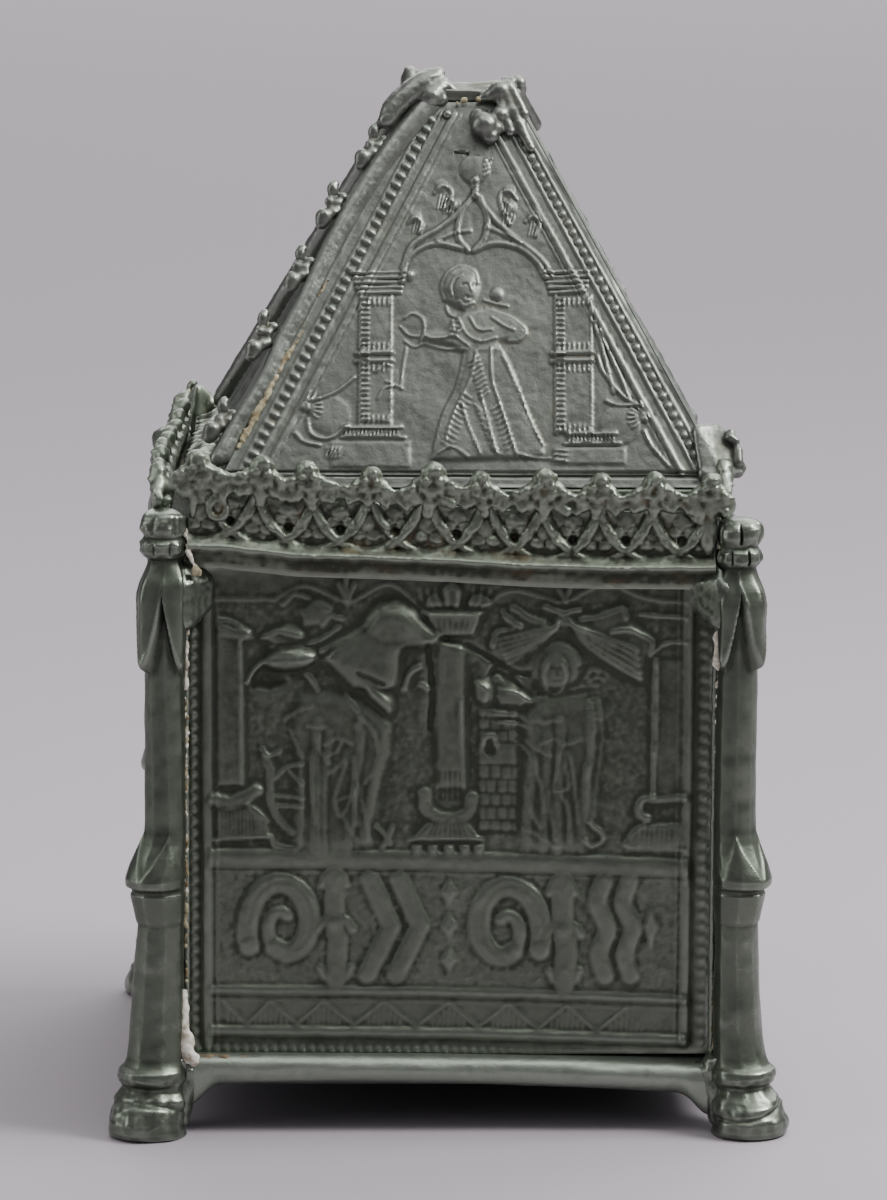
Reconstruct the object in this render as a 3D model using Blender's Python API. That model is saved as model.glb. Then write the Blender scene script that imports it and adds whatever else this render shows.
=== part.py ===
"""Chrismatory: a square box of cast pewter plates between corner posts, with a steep lid that lifts off.

Metres, +Z up. The origin is on the ground below the middle of the box, and the front faces -Y.
Every side is modelled at the front and turned about the Z axis to its place.
"""

import math

import bmesh
import bpy
from mathutils import Vector

# Plan, heights and gaps
POST_SPACING = 0.0920
RAIL_BOTTOM = 0.0069
RAIL_HEIGHT = 0.0052
PANEL_HEIGHT = 0.0806
JOINT_GAP = 0.0003

# Corner posts: how far the shaft reaches from its centre, outwards and towards the box
POST_REACH_OUT = 0.0035
POST_REACH_IN = 0.0033
POST_SIDES = 8
COLLAR_LEVEL = 0.0353
COLLAR_HEIGHT = 0.0055
KNEE_HEIGHT = 0.0088
POST_HEAD_HEIGHT = 0.0099
GABLET_HEIGHT = 0.0120
GABLET_POINT = 0.0030

# Walls, floor and rails
PANEL_WALL = 0.0020
PANEL_SET_BACK = 0.0008
FLOOR_THICKNESS = 0.0018
RAIL_PROUD = 0.0030
RAIL_DEPTH = 0.0090

# Lid: rim roll, cresting, ledge and roof
RIM_PROUD = 0.0032
RIM_DROP = 0.0022
RIM_LAP = 0.0004
CREST_PROUD = 0.0016
CREST_THICKNESS = 0.0016
CREST_FOOT = 0.0027
CREST_LOW = 0.0142
CREST_KNOB_RISE = 0.0032
CREST_KNOBS = 10
CREST_KNOB_HALF = 0.0019
CREST_KNOB_BULGE = 0.0013
CREST_END_MARGIN = 0.0011
CREST_BROKEN = 0.0122
PIERCING_WIDTH = 0.0026
PIERCING_HEIGHT = 0.0030
PIERCING_LEVEL = 0.0068
LEDGE_LEVEL = 0.0105
LEDGE_THICKNESS = 0.0014
LEDGE_WIDTH = 0.0100
ROOF_WALL = 0.0018
ROOF_MARGIN = 0.0037
ROOF_TOP_HALF = 0.0082
ROOF_HEIGHT = 0.0592
TOP_PLATE_THICKNESS = 0.0012
TOP_PLATE_CHAMFER = 0.0034

# Hip rolls and their crockets
HIP_ROLL_WIDTH = 0.0025
HIP_ROLL_HEIGHT = 0.0020
HIP_START_RISE = 0.0036
CROCKET_REACH = 0.0030
CROCKET_LENGTH = 0.0074
CROCKETS_PER_HIP = 5
FINIAL_RISE = 0.0044
# Rows of the finial that ends a hip roll: share of its rise, half width, and how far it stands off the corner
FINIAL_ROWS = ((0.10, 0.0019, 0.0026), (0.45, 0.0022, 0.0028), (0.80, 0.0017, 0.0022), (1.0, 0.0009, 0.0020))

# Places that follow from the sizes above
POST_CENTRE = POST_SPACING / 2
BAY_HALF = POST_CENTRE - POST_REACH_IN - JOINT_GAP
RAIL_TOP = RAIL_BOTTOM + RAIL_HEIGHT
PANEL_BOTTOM = RAIL_TOP + JOINT_GAP
PANEL_TOP = PANEL_BOTTOM + PANEL_HEIGHT
SEAT = PANEL_TOP + JOINT_GAP
PANEL_OUT = POST_CENTRE - PANEL_SET_BACK
PANEL_IN = PANEL_OUT - PANEL_WALL
RAIL_OUT = POST_CENTRE + RAIL_PROUD
RIM_OUT = POST_CENTRE + RIM_PROUD
CREST_OUT = PANEL_OUT + CREST_PROUD
CREST_IN = CREST_OUT - CREST_THICKNESS
ROOF_BASE = SEAT + LEDGE_LEVEL + LEDGE_THICKNESS + JOINT_GAP
ROOF_TOP = ROOF_BASE + ROOF_HEIGHT
ROOF_HALF = CREST_IN - ROOF_MARGIN
ROOF_SHIFT = CREST_IN - JOINT_GAP - ROOF_HALF
HIP_SLOPE = (ROOF_HALF - ROOF_TOP_HALF) / ROOF_HEIGHT
SIDES = ("front", "right", "back", "left")


def clear_scene():
    for obj in list(bpy.data.objects):
        bpy.data.objects.remove(obj, do_unlink=True)


def pewter(name, colour, roughness):
    """Grey-green pewter with a dull, handled surface."""
    material = bpy.data.materials.new(name)
    material.use_nodes = True
    shader = material.node_tree.nodes["Principled BSDF"]
    shader.inputs["Base Color"].default_value = (*colour, 1.0)
    shader.inputs["Roughness"].default_value = roughness
    shader.inputs["Metallic"].default_value = 0.8
    material.diffuse_color = (*colour, 1.0)
    return material


def mesh_from(name, points, faces):
    """A closed mesh with its faces turned outwards."""
    mesh = bpy.data.meshes.new(name)
    mesh.from_pydata([tuple(point) for point in points], [], faces)
    shape = bmesh.new()
    shape.from_mesh(mesh)
    bmesh.ops.recalc_face_normals(shape, faces=shape.faces)
    bmesh.ops.triangulate(shape, faces=shape.faces)
    shape.to_mesh(mesh)
    shape.free()
    mesh.update()
    return mesh


def place(name, mesh, material, turn=0.0, shift=(0.0, 0.0, 0.0), parent=None):
    obj = bpy.data.objects.new(name, mesh)
    bpy.context.scene.collection.objects.link(obj)
    if not mesh.materials:
        mesh.materials.append(material)
    obj.rotation_euler.z = turn
    obj.location = shift
    obj.parent = parent
    return obj


def loft(name, rings):
    """Joins rings of equally many points into one closed skin, with a flat cap on each end."""
    count = len(rings[0])
    points = [point for ring in rings for point in ring]
    faces = []
    for row in range(len(rings) - 1):
        for i in range(count):
            j = (i + 1) % count
            low, high = row * count, (row + 1) * count
            faces.append((low + i, low + j, high + j, high + i))
    faces.append(tuple(range(count)))
    faces.append(tuple((len(rings) - 1) * count + i for i in range(count)))
    return mesh_from(name, points, faces)


def bay_end(out):
    """Half length of a bar at one distance from the axis: clear of the posts and mitred at the corners."""
    return min(BAY_HALF, out - JOINT_GAP)


def bar(name, section):
    """A straight bar along X whose section is a list of (distance outwards, height)."""
    rings = []
    for side in (-1, 1):
        rings.append([Vector((side * bay_end(out), -out, z)) for out, z in section])
    return loft(name, rings)


def arc(centre, radius_out, radius_up, start, end, steps):
    """Points of an elliptical arc in the (distance outwards, height) plane, in degrees from outwards up."""
    turns = [math.radians(start + (end - start) * i / steps) for i in range(steps + 1)]
    return [(centre[0] + radius_out * math.cos(a), centre[1] + radius_up * math.sin(a)) for a in turns]


def post_rows():
    """Rows of a post from the ground up: height, outward share, inward share and rise of the axis corners."""
    foot = [(0.0, 2.28, 1.06), (0.16, 2.42, 1.20), (0.50, 2.24, 1.16)]
    foot += [(0.61, 1.86, 0.98), (0.72, 2.14, 1.10), (0.95, 1.98, 1.00)]
    ankle = [(0.12, 1.86, 0.94), (0.24, 2.06, 0.98), (0.70, 2.02, 0.98), (0.86, 1.66, 0.92)]
    collar = [(0.0, 1.16, 0.90), (0.10, 1.26, 0.95), (0.74, 1.46, 1.0), (0.86, 1.30, 0.94), (1.0, 1.64, 1.0)]
    knee = [(0.34, 1.58, 1.0, 0.0), (0.50, 1.22, 0.98, 0.34), (0.66, 1.0, 0.97, 0.34)]
    gablet = [(0.0, 1.0, 0.97, -1.0), (0.06, 1.32, 1.0, -1.0), (0.50, 1.26, 1.0, -0.4)]
    gablet += [(0.86, 1.10, 0.94, 0.0), (1.0, 0.86, 0.80, 0.0)]
    head = [(0.06, 0.78, 0.72), (0.14, 0.80, 0.74), (0.18, 1.16, 0.97), (0.26, 1.20, 1.0), (0.44, 1.20, 1.0)]
    head += [(0.49, 1.02, 0.90), (0.53, 1.04, 0.92), (0.60, 1.18, 1.0), (0.88, 1.14, 1.0)]
    head += [(0.96, 0.98, 0.84), (1.0, 0.60, 0.56)]
    gablet_bottom = PANEL_TOP - GABLET_HEIGHT - GABLET_POINT / 3
    rows = [(RAIL_BOTTOM * h, out, inn, 0.0) for h, out, inn in foot]
    rows += [(RAIL_BOTTOM + RAIL_HEIGHT * h, out, inn, 0.0) for h, out, inn in ankle]
    rows += [(COLLAR_LEVEL + COLLAR_HEIGHT * h, out, inn, 0.0) for h, out, inn in collar]
    knee_bottom = COLLAR_LEVEL + COLLAR_HEIGHT
    rows += [(knee_bottom + KNEE_HEIGHT * h, out, inn, KNEE_HEIGHT * rise) for h, out, inn, rise in knee]
    for h, out, inn, rise in gablet:
        rows.append((gablet_bottom + GABLET_HEIGHT * h, out, inn, GABLET_POINT * rise))
    rows += [(PANEL_TOP + POST_HEAD_HEIGHT * h, out, inn, 0.0) for h, out, inn in head]
    return rows


def post_mesh():
    """A polygonal post at the front left corner, which grows outwards at its foot, knee and gablets."""
    rings = []
    for height, out_share, in_share, rise in post_rows():
        reach_out = POST_REACH_OUT * out_share
        reach_in = POST_REACH_IN * in_share
        half = (reach_out + reach_in) / 2
        centre = POST_CENTRE + (reach_out - reach_in) / 2
        ring = []
        for i in range(POST_SIDES):
            angle = math.tau * i / POST_SIDES
            on_axis = rise if i % 2 == 0 else 0.0
            corner = Vector((half * math.cos(angle), half * math.sin(angle), height + on_axis))
            ring.append(corner - Vector((centre, centre, 0.0)))
        rings.append(ring)
    return loft("post", rings)


def rail_mesh():
    """A base rail: a thick roll in front, and a flat shelf behind it for the panel and the floor."""
    middle = RAIL_BOTTOM + RAIL_HEIGHT / 2
    roll = RAIL_HEIGHT / 2
    shelf_in = RAIL_OUT - RAIL_DEPTH
    shelf_bottom = RAIL_TOP - FLOOR_THICKNESS
    section = arc((RAIL_OUT - roll, middle), roll, roll, -90, 90, 6)
    section += [(shelf_in, RAIL_TOP), (shelf_in, shelf_bottom)]
    section += [(PANEL_IN, shelf_bottom), (PANEL_IN, RAIL_BOTTOM)]
    return bar("rail", section)


# Mouldings of a panel, each with its half width and rise: horizontal ones by height above its lower edge,
# upright ones by distance from its side edge
ROLL_BOTTOM = (0.0042, 0.0012, 0.0010)
ROLL_FRIEZE = (0.0114, 0.0009, 0.0008)
ROLL_MIDDLE = (0.0334, 0.0016, 0.0012)
ROLL_UPRIGHT = (0.0040, 0.0010, 0.0011)
BEAD_UPRIGHT = (0.0012, 0.0008, 0.0007)
BEAD_LEVEL = 0.0015
COLUMN_HALF = 0.0026
COLUMN_RISE = 0.0012
OUTER_COLUMN = 0.0075
COLUMN_BASE = 0.0031
CAPITAL_BELOW_TOP = 0.0085
PLAIN_TOP = RIM_DROP + RIM_LAP
# Broad masses of the front scene: sideways place, height as a share of the scene, half width, half height
# as a share, and rise
FIGURE_MASSES = (
    (-0.0180, 0.33, 0.0095, 0.42, 0.0011),
    (0.0180, 0.36, 0.0085, 0.44, 0.0011),
    (-0.0090, 0.86, 0.0095, 0.11, 0.0016),
)


def roll_rise(distance, roll):
    _, half, rise = roll
    return rise * math.sqrt(max(0.0, 1.0 - (distance / half) ** 2))


def panel_rise(u, z, masses):
    """How far the face of a panel stands out at one point: its mouldings, columns and broad masses."""
    if z >= PANEL_HEIGHT - PLAIN_TOP:
        return 0.0
    from_side = BAY_HALF - abs(u)
    rise = max(roll_rise(from_side - roll[0], roll) for roll in (ROLL_UPRIGHT, BEAD_UPRIGHT))
    if from_side < ROLL_UPRIGHT[0]:
        return rise
    for roll in (ROLL_BOTTOM, ROLL_FRIEZE, ROLL_MIDDLE):
        rise = max(rise, roll_rise(z - roll[0], roll))
    scene_bottom = ROLL_MIDDLE[0] + ROLL_MIDDLE[1]
    scene_top = PANEL_HEIGHT - CAPITAL_BELOW_TOP
    if scene_bottom <= z:
        for centre in (0.0, BAY_HALF - OUTER_COLUMN):
            flare = 1.0 + 0.5 * (z < scene_bottom + COLUMN_BASE) + 0.6 * (z > scene_top)
            if abs(abs(u) - centre) < COLUMN_HALF * flare:
                rise = max(rise, COLUMN_RISE)
        for place_u, share, half_u, half_share, height in masses:
            z_middle = scene_bottom + share * (PANEL_HEIGHT - scene_bottom)
            z_half = half_share * (PANEL_HEIGHT - scene_bottom)
            r = ((u - place_u) / half_u) ** 2 + ((z - z_middle) / z_half) ** 2
            if r < 1.0:
                rise = max(rise, height * math.sqrt(1.0 - r))
    return rise


def panel_lines(masses):
    """Where the mesh of a panel has its lines: on every edge and crown of its mouldings and columns."""
    half_lines = [BAY_HALF, BAY_HALF - BEAD_UPRIGHT[0], 0.0]
    half_lines += [BAY_HALF - ROLL_UPRIGHT[0] + side * ROLL_UPRIGHT[1] for side in (-1, 0, 1)]
    outer = BAY_HALF - OUTER_COLUMN
    half_lines += [outer - COLUMN_HALF * 1.01, outer - COLUMN_HALF * 0.8, outer + COLUMN_HALF * 0.8]
    half_lines += [COLUMN_HALF * 0.8, COLUMN_HALF * 1.25]
    inner_gap = outer - COLUMN_HALF * 2.4
    parts = 5 if masses else 2
    half_lines += [COLUMN_HALF * 1.25 + inner_gap * i / parts for i in range(1, parts)]
    lines_u = sorted({round(side * value, 7) for value in half_lines for side in (-1, 1)})
    lines_z = [0.0, BEAD_LEVEL, PANEL_HEIGHT - PLAIN_TOP * 1.2, PANEL_HEIGHT - PLAIN_TOP]
    lines_z += [PANEL_HEIGHT]
    for level, half, _ in (ROLL_BOTTOM, ROLL_FRIEZE, ROLL_MIDDLE):
        lines_z += [level - half, level, level + half]
    scene_bottom = ROLL_MIDDLE[0] + ROLL_MIDDLE[1]
    capital = PANEL_HEIGHT - CAPITAL_BELOW_TOP
    lines_z += [scene_bottom + COLUMN_BASE, scene_bottom + COLUMN_BASE * 1.3, capital, capital + COLUMN_HALF]
    steps = 7 if masses else 1
    shaft = capital - scene_bottom - COLUMN_BASE * 1.3
    lines_z += [scene_bottom + COLUMN_BASE * 1.3 + shaft * i / steps for i in range(1, steps)]
    return lines_u, sorted({round(value, 7) for value in lines_z})


def panel_mesh(name, masses):
    """A relief plate: a gridded face, a flat back and straight edges."""
    lines_u, lines_z = panel_lines(masses)
    across, up = len(lines_u), len(lines_z)
    points = []
    for z in lines_z:
        for u in lines_u:
            points.append((u, -PANEL_OUT - panel_rise(u, z, masses), PANEL_BOTTOM + z))
    faces = []
    for row in range(up - 1):
        for column in range(across - 1):
            i = row * across + column
            faces.append((i, i + 1, i + 1 + across, i + across))
    back = len(points)
    left, right = lines_u[0], lines_u[-1]
    for u, z in ((left, 0.0), (right, 0.0), (right, PANEL_HEIGHT), (left, PANEL_HEIGHT)):
        points.append((u, -PANEL_IN, PANEL_BOTTOM + z))
    last = (up - 1) * across
    faces.append((back, back + 1, back + 2, back + 3))
    faces.append((*range(across), back + 1, back))
    faces.append((*range(last, last + across), back + 2, back + 3))
    faces.append((*range(0, last + 1, across), back + 3, back))
    faces.append((*range(across - 1, last + across, across), back + 2, back + 1))
    return mesh_from(name, points, faces)


# Shares of a crest strip's length where its cresting has broken off above the ledge, seen from outside
LOST_CRESTING = {"right": (0.40, 1.0), "back": (0.0, 0.09)}


def is_lost(u, side):
    first, last = LOST_CRESTING.get(side, (2.0, 2.0))
    return first <= (u + BAY_HALF) / (2 * BAY_HALF) <= last


def crest_height(distance):
    """Height of the cresting above the seat at one distance from the nearest knob's centre."""
    if distance >= CREST_KNOB_HALF:
        return CREST_LOW
    return CREST_LOW + CREST_KNOB_RISE * math.sqrt(1.0 - (distance / CREST_KNOB_HALF) ** 2)


def knob_places():
    reach = BAY_HALF - CREST_END_MARGIN
    return [-reach + 2 * reach * i / (CREST_KNOBS - 1) for i in range(CREST_KNOBS)]


def crest_mesh(side):
    """A crest strip: rim roll, seat, inner ledge and an upstand whose top rises into a row of knobs."""
    roll_middle = SEAT + (CREST_FOOT - RIM_DROP) / 2
    roll_up = (CREST_FOOT + RIM_DROP) / 2
    roll_out = RIM_OUT - CREST_OUT
    ledge_bottom = SEAT + LEDGE_LEVEL
    ledge_top = ledge_bottom + LEDGE_THICKNESS
    ledge_in = CREST_IN - LEDGE_WIDTH
    corner = BAY_HALF + JOINT_GAP
    rim = [(PANEL_OUT + RIM_LAP, SEAT)]
    rim += arc((CREST_OUT, roll_middle), roll_out, roll_up, -90, 90, 5)
    inside = [(CREST_IN, ledge_top), (corner, ledge_top), (ledge_in, ledge_top), (ledge_in, ledge_bottom)]
    inside += [(corner, ledge_bottom), (CREST_IN, ledge_bottom), (CREST_IN, SEAT + CREST_FOOT)]
    inside += [(PANEL_IN, SEAT + CREST_FOOT), (PANEL_IN, SEAT)]
    stations = {-BAY_HALF, BAY_HALF}
    for knob in knob_places():
        stations |= {knob + CREST_KNOB_HALF * share for share in (-1.0, -0.75, 0.0, 0.75, 1.0)}
    stations = sorted(u for u in stations if abs(u) <= BAY_HALF)

    points = []
    faces = []

    def add(u, out, z):
        points.append((u, -out, z))
        return len(points) - 1

    outline = inside + rim
    left_end, right_end = ([add(side * bay_end(out), out, z) for out, z in outline] for side in (-1, 1))
    count = len(outline)
    foot, ledge = count - 1, 0
    upstand = []
    for u in stations:
        distance = min(abs(u - knob) for knob in knob_places())
        top = SEAT + (CREST_BROKEN if is_lost(u, side) else crest_height(distance))
        bulge = CREST_KNOB_BULGE * max(0.0, 1.0 - (distance / CREST_KNOB_HALF) ** 2)
        if is_lost(u, side):
            bulge = 0.0
        ends = {stations[0]: left_end, stations[-1]: right_end}.get(u)
        row = [ends[foot] if ends else add(u, *outline[foot])]
        bulge_level = SEAT + CREST_BROKEN - CREST_KNOB_RISE * 0.3
        if not is_lost(u, side):
            bulge_level = top - CREST_KNOB_RISE * 0.7
        row += [add(u, CREST_OUT + bulge, bulge_level), add(u, CREST_OUT + bulge * 0.7, top)]
        row += [add(u, CREST_IN, top), ends[ledge] if ends else add(u, *outline[ledge])]
        upstand.append(row)
    for left, right in zip(upstand, upstand[1:]):
        for k in range(len(left) - 1):
            faces.append((left[k], right[k], right[k + 1], left[k + 1]))
    foot_line = [row[0] for row in upstand]
    ledge_line = [row[-1] for row in upstand]
    for k in range(count - 1):
        if k == ledge:
            faces.append((*ledge_line, right_end[k + 1], left_end[k + 1]))
        elif k + 1 == foot:
            faces.append((left_end[k], *foot_line, right_end[k]))
        else:
            faces.append((left_end[k], left_end[k + 1], right_end[k + 1], right_end[k]))
    faces.append((*left_end, *upstand[0][1:-1]))
    faces.append((*right_end, *upstand[-1][1:-1]))
    return mesh_from("crest", points, faces)


def piercing_cutter():
    """One pointed opening between each two knobs, through the upstand."""
    points = []
    faces = []
    knobs = knob_places()
    for left, right in zip(knobs, knobs[1:]):
        middle = (left + right) / 2
        start = len(points)
        for out in (CREST_OUT + CREST_THICKNESS, CREST_IN - CREST_THICKNESS):
            low = SEAT + PIERCING_LEVEL - PIERCING_HEIGHT / 2
            points += [(middle - PIERCING_WIDTH / 2, -out, low), (middle + PIERCING_WIDTH / 2, -out, low)]
            points.append((middle, -out, low + PIERCING_HEIGHT))
        prism = ((0, 1, 2), (3, 5, 4), (0, 3, 4, 1), (1, 4, 5, 2), (2, 5, 3, 0))
        faces += [tuple(start + i for i in face) for face in prism]
    cutter = bpy.data.objects.new("piercing_cutter", mesh_from("piercing_cutter", points, faces))
    bpy.context.scene.collection.objects.link(cutter)
    cutter.hide_render = True
    cutter.display_type = "WIRE"
    return cutter


# Raised border of a roof plate: distance from the hip edge, half width and rise of its bead and its roll
ROOF_BEAD = (0.0022, 0.0007, 0.0006)
ROOF_ROLL = (0.0045, 0.0009, 0.0008)
ROOF_SKIRT = 0.0028


def roof_half_at(height):
    return ROOF_HALF - HIP_SLOPE * height


def roof_plate_mesh():
    """A sloping plate, mitred at the hips, with a raised bead line and roll along each hip."""
    slope = math.atan2(1.0, HIP_SLOPE)
    depth = ROOF_WALL / math.sin(slope)
    outward = Vector((0.0, -math.sin(slope), math.cos(slope)))
    offsets = [JOINT_GAP / 2, ROOF_BEAD[0] - ROOF_BEAD[1], ROOF_BEAD[0], ROOF_BEAD[0] + ROOF_BEAD[1]]
    offsets += [ROOF_ROLL[0] - ROOF_ROLL[1], ROOF_ROLL[0], ROOF_ROLL[0] + ROOF_ROLL[1]]
    rises = [0.0, 0.0, ROOF_BEAD[2], 0.0, 0.0, ROOF_ROLL[2], 0.0]
    rings = []
    for height, share in ((0.0, 0.0), (ROOF_SKIRT, 0.0), (ROOF_SKIRT * 1.3, 1.0), (ROOF_HEIGHT, 1.0)):
        half = roof_half_at(height)
        left = []
        for offset, rise in zip(offsets, rises):
            left.append(Vector((offset - half, -half, ROOF_BASE + height)) + outward * rise * share)
        right = [Vector((-point.x, point.y, point.z)) for point in reversed(left)]
        inner = half - depth
        inner_x = inner - JOINT_GAP / 2
        back = [Vector((inner_x, -inner, ROOF_BASE + height)), Vector((-inner_x, -inner, ROOF_BASE + height))]
        rings.append(left + right + back)
    top = [Vector((point.x, point.y, ROOF_TOP)) for point in rings[-1]]
    rings[-1] = top
    return loft("roof_plate", rings)


def top_plate_mesh():
    half = ROOF_TOP_HALF
    cut = half - TOP_PLATE_CHAMFER
    right = [(half, -cut), (half, cut), (cut, half), (-cut, half)]
    outline = right + [(-x, -y) for x, y in right]
    bottom = ROOF_TOP + JOINT_GAP
    rises = (0.0, TOP_PLATE_THICKNESS)
    return loft("top_plate", [[Vector((x, y, bottom + rise)) for x, y in outline] for rise in rises])


def hip_frame():
    """Start, length and directions of the front left hip: along it, outwards from it, and sideways."""
    start = Vector((-ROOF_HALF, -ROOF_HALF, ROOF_BASE))
    end = Vector((-ROOF_TOP_HALF, -ROOF_TOP_HALF, ROOF_TOP))
    along = (end - start).normalized()
    sideways = Vector((1.0, -1.0, 0.0)).normalized()
    outward = sideways.cross(along).normalized()
    if outward.x > 0:
        outward = -outward
    return start, (end - start).length, along, outward, sideways


def hip_ring(origin, outward, sideways, bud):
    """One section of a hip roll: a notch over the edge below it, and a round back that a bud raises."""
    slope = math.atan2(1.0, HIP_SLOPE)
    normal = Vector((0.0, -math.sin(slope), math.cos(slope)))
    lean = math.acos(outward.dot(normal))
    apex = JOINT_GAP / math.cos(lean)
    wing = HIP_ROLL_WIDTH * 0.42
    wing_out = apex - wing * math.tan(lean)
    crown = apex + HIP_ROLL_HEIGHT * 0.8 + bud
    shoulder = HIP_ROLL_WIDTH * (0.54 if bud > CROCKET_REACH / 4 else 0.36)
    section = [(apex, 0.0), (wing_out, wing), (apex + HIP_ROLL_HEIGHT * 0.15, HIP_ROLL_WIDTH / 2)]
    section += [(apex + (crown - apex) * 0.75, shoulder), (crown, 0.0)]
    section += [(out, -side) for out, side in reversed(section[1:4])]
    return [origin + outward * out + sideways * side for out, side in section]


def crocket_places(length):
    """Distances of the crockets' centres along a hip."""
    first, last = length * 0.185, length * 0.875
    return [first + (last - first) * i / (CROCKETS_PER_HIP - 1) for i in range(CROCKETS_PER_HIP)]


def hip_stations(length):
    """Distances along a hip, each with the height of its bud: every crocket is a leaf with two buds."""
    stations = [(HIP_START_RISE, 0.0)]
    for centre in crocket_places(length):
        shares = ((-0.5, 0.0), (-0.32, 1.0), (-0.14, 0.85), (0.0, 0.35), (0.16, 0.9), (0.34, 1.0), (0.5, 0.0))
        stations += [(centre + share * CROCKET_LENGTH, bud * CROCKET_REACH) for share, bud in shares]
    return stations


def hip_roll_mesh(first, last, finial):
    """The stretch of a hip roll between two distances along the hip, with or without its finial."""
    start, length, along, outward, sideways = hip_frame()
    rings = []
    for distance, bud in hip_stations(length):
        if first <= distance <= last:
            rings.append(hip_ring(start + along * distance, outward, sideways, bud))
    if finial:
        up = Vector((0.0, 0.0, 1.0))
        away = Vector((outward.x, outward.y, 0.0)).normalized()
        if not rings:
            rings.append(hip_ring(start + along * (length * 0.955), outward, sideways, 0.0))
        rings.append(hip_ring(start + along * (length * 0.985), outward, sideways, CROCKET_REACH * 0.6))
        top = start + along * length
        for rise, half, push in FINIAL_ROWS:
            centre = top + up * (JOINT_GAP + FINIAL_RISE * rise) + away * push
            ring = []
            for i in range(len(rings[0])):
                angle = math.tau * i / len(rings[0])
                ring.append(centre + (sideways * math.sin(angle) - away * math.cos(angle)) * half)
            rings.append(ring)
    return loft("hip_roll", rings)


def build():
    clear_scene()
    box = bpy.data.objects.new("box", None)
    lid = bpy.data.objects.new("lid", None)
    for empty in (box, lid):
        bpy.context.scene.collection.objects.link(empty)
    dark = pewter("pewter_panel", (0.085, 0.095, 0.088), 0.48)
    mid = pewter("pewter_post", (0.125, 0.140, 0.128), 0.42)
    light = pewter("pewter_roof", (0.190, 0.205, 0.195), 0.50)
    worn = pewter("pewter_crest", (0.110, 0.122, 0.108), 0.46)

    posts = post_mesh()
    rails = rail_mesh()
    roof_plates = roof_plate_mesh()
    front_panel = panel_mesh("front_panel", FIGURE_MASSES)
    plain_panel = panel_mesh("plain_panel", ())
    cutter = piercing_cutter()
    roof_place = (ROOF_SHIFT, 0.0, 0.0)
    for i, side in enumerate(SIDES):
        turn = math.pi / 2 * i
        corner = ("front_left", "front_right", "back_right", "back_left")[i]
        place(f"post_{corner}", posts, mid, turn, parent=box)
        place(f"base_rail_{side}", rails, mid, turn, parent=box)
        place(f"side_panel_{side}", front_panel if i == 0 else plain_panel, dark, turn, parent=box)
        crest = place(f"crest_strip_{side}", crest_mesh(side), worn, turn, parent=lid)
        side_cutter = cutter if i == 0 else cutter.copy()
        if i:
            bpy.context.scene.collection.objects.link(side_cutter)
            side_cutter.rotation_euler.z = turn
        pierce = crest.modifiers.new("piercings", "BOOLEAN")
        pierce.operation = "DIFFERENCE"
        pierce.object = side_cutter
        place(f"roof_plate_{side}", roof_plates, light, turn, roof_place, lid)

    floor_half = PANEL_IN - JOINT_GAP
    floor_outline = ((-1, -1), (1, -1), (1, 1), (-1, 1))
    floor_rings = []
    for z in (PANEL_BOTTOM, PANEL_BOTTOM + FLOOR_THICKNESS):
        floor_rings.append([Vector((x * floor_half, y * floor_half, z)) for x, y in floor_outline])
    place("floor_plate", loft("floor_plate", floor_rings), dark, parent=box)
    place("roof_top_plate", top_plate_mesh(), light, 0.0, roof_place, lid)

    length = hip_frame()[1]
    whole = hip_roll_mesh(0.0, length, True)
    for name, quarter in (("front_left", 0), ("back_left", 3)):
        place(f"hip_roll_{name}", whole, light, math.pi / 2 * quarter, roof_place, lid)
    # Both right hips have lost their rolls: their ends are left at the top, and at the foot of the front one
    top_remnant = hip_roll_mesh(length, length, True)
    foot_remnant = hip_roll_mesh(0.0, crocket_places(length)[0] - CROCKET_LENGTH * 0.4, False)
    for name, quarter in (("front_top", 1), ("back_top", 2)):
        place(f"hip_remnant_{name}", top_remnant, light, math.pi / 2 * quarter, roof_place, lid)
    place("hip_remnant_front_foot", foot_remnant, light, math.pi / 2, roof_place, lid)


build()
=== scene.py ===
"""Looks of the chrismatory: a pewter box on four feet with relief panels and a steep lid with cresting.

The box is built up from the posts to the finials of the lid. Sizes are in millimetres until a mesh is written.
Seen from above, every side is modelled at the front, facing -Y, and then turned about the upright axis.
"""

import math

import bpy
import numpy as np
from mathutils import Matrix, Vector


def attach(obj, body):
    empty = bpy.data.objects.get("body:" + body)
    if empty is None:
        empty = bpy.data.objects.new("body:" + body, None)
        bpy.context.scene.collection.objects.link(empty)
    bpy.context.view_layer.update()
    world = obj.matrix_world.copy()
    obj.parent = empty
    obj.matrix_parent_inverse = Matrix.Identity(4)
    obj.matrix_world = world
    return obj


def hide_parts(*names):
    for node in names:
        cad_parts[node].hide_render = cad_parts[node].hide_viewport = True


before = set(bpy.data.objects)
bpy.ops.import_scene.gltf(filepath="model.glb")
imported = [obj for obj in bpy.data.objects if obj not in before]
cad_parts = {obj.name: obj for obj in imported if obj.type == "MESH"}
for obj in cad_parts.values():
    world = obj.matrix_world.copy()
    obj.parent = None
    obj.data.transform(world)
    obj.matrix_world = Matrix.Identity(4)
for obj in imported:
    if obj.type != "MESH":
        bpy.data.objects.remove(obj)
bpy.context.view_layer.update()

# Corner posts
# Four cast posts of eight-sided section, each in one with its hoofed foot, ankle ring, collar, knee and hood of
# drooping gablets, and topped by a cap of two rows of blocks. Pewter, worn smooth and glossy by handling.

SIDES = ("front", "right", "back", "left")
CORNERS = ("front_left", "front_right", "back_right", "back_left")
POST_AXIS = 46.0


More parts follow.
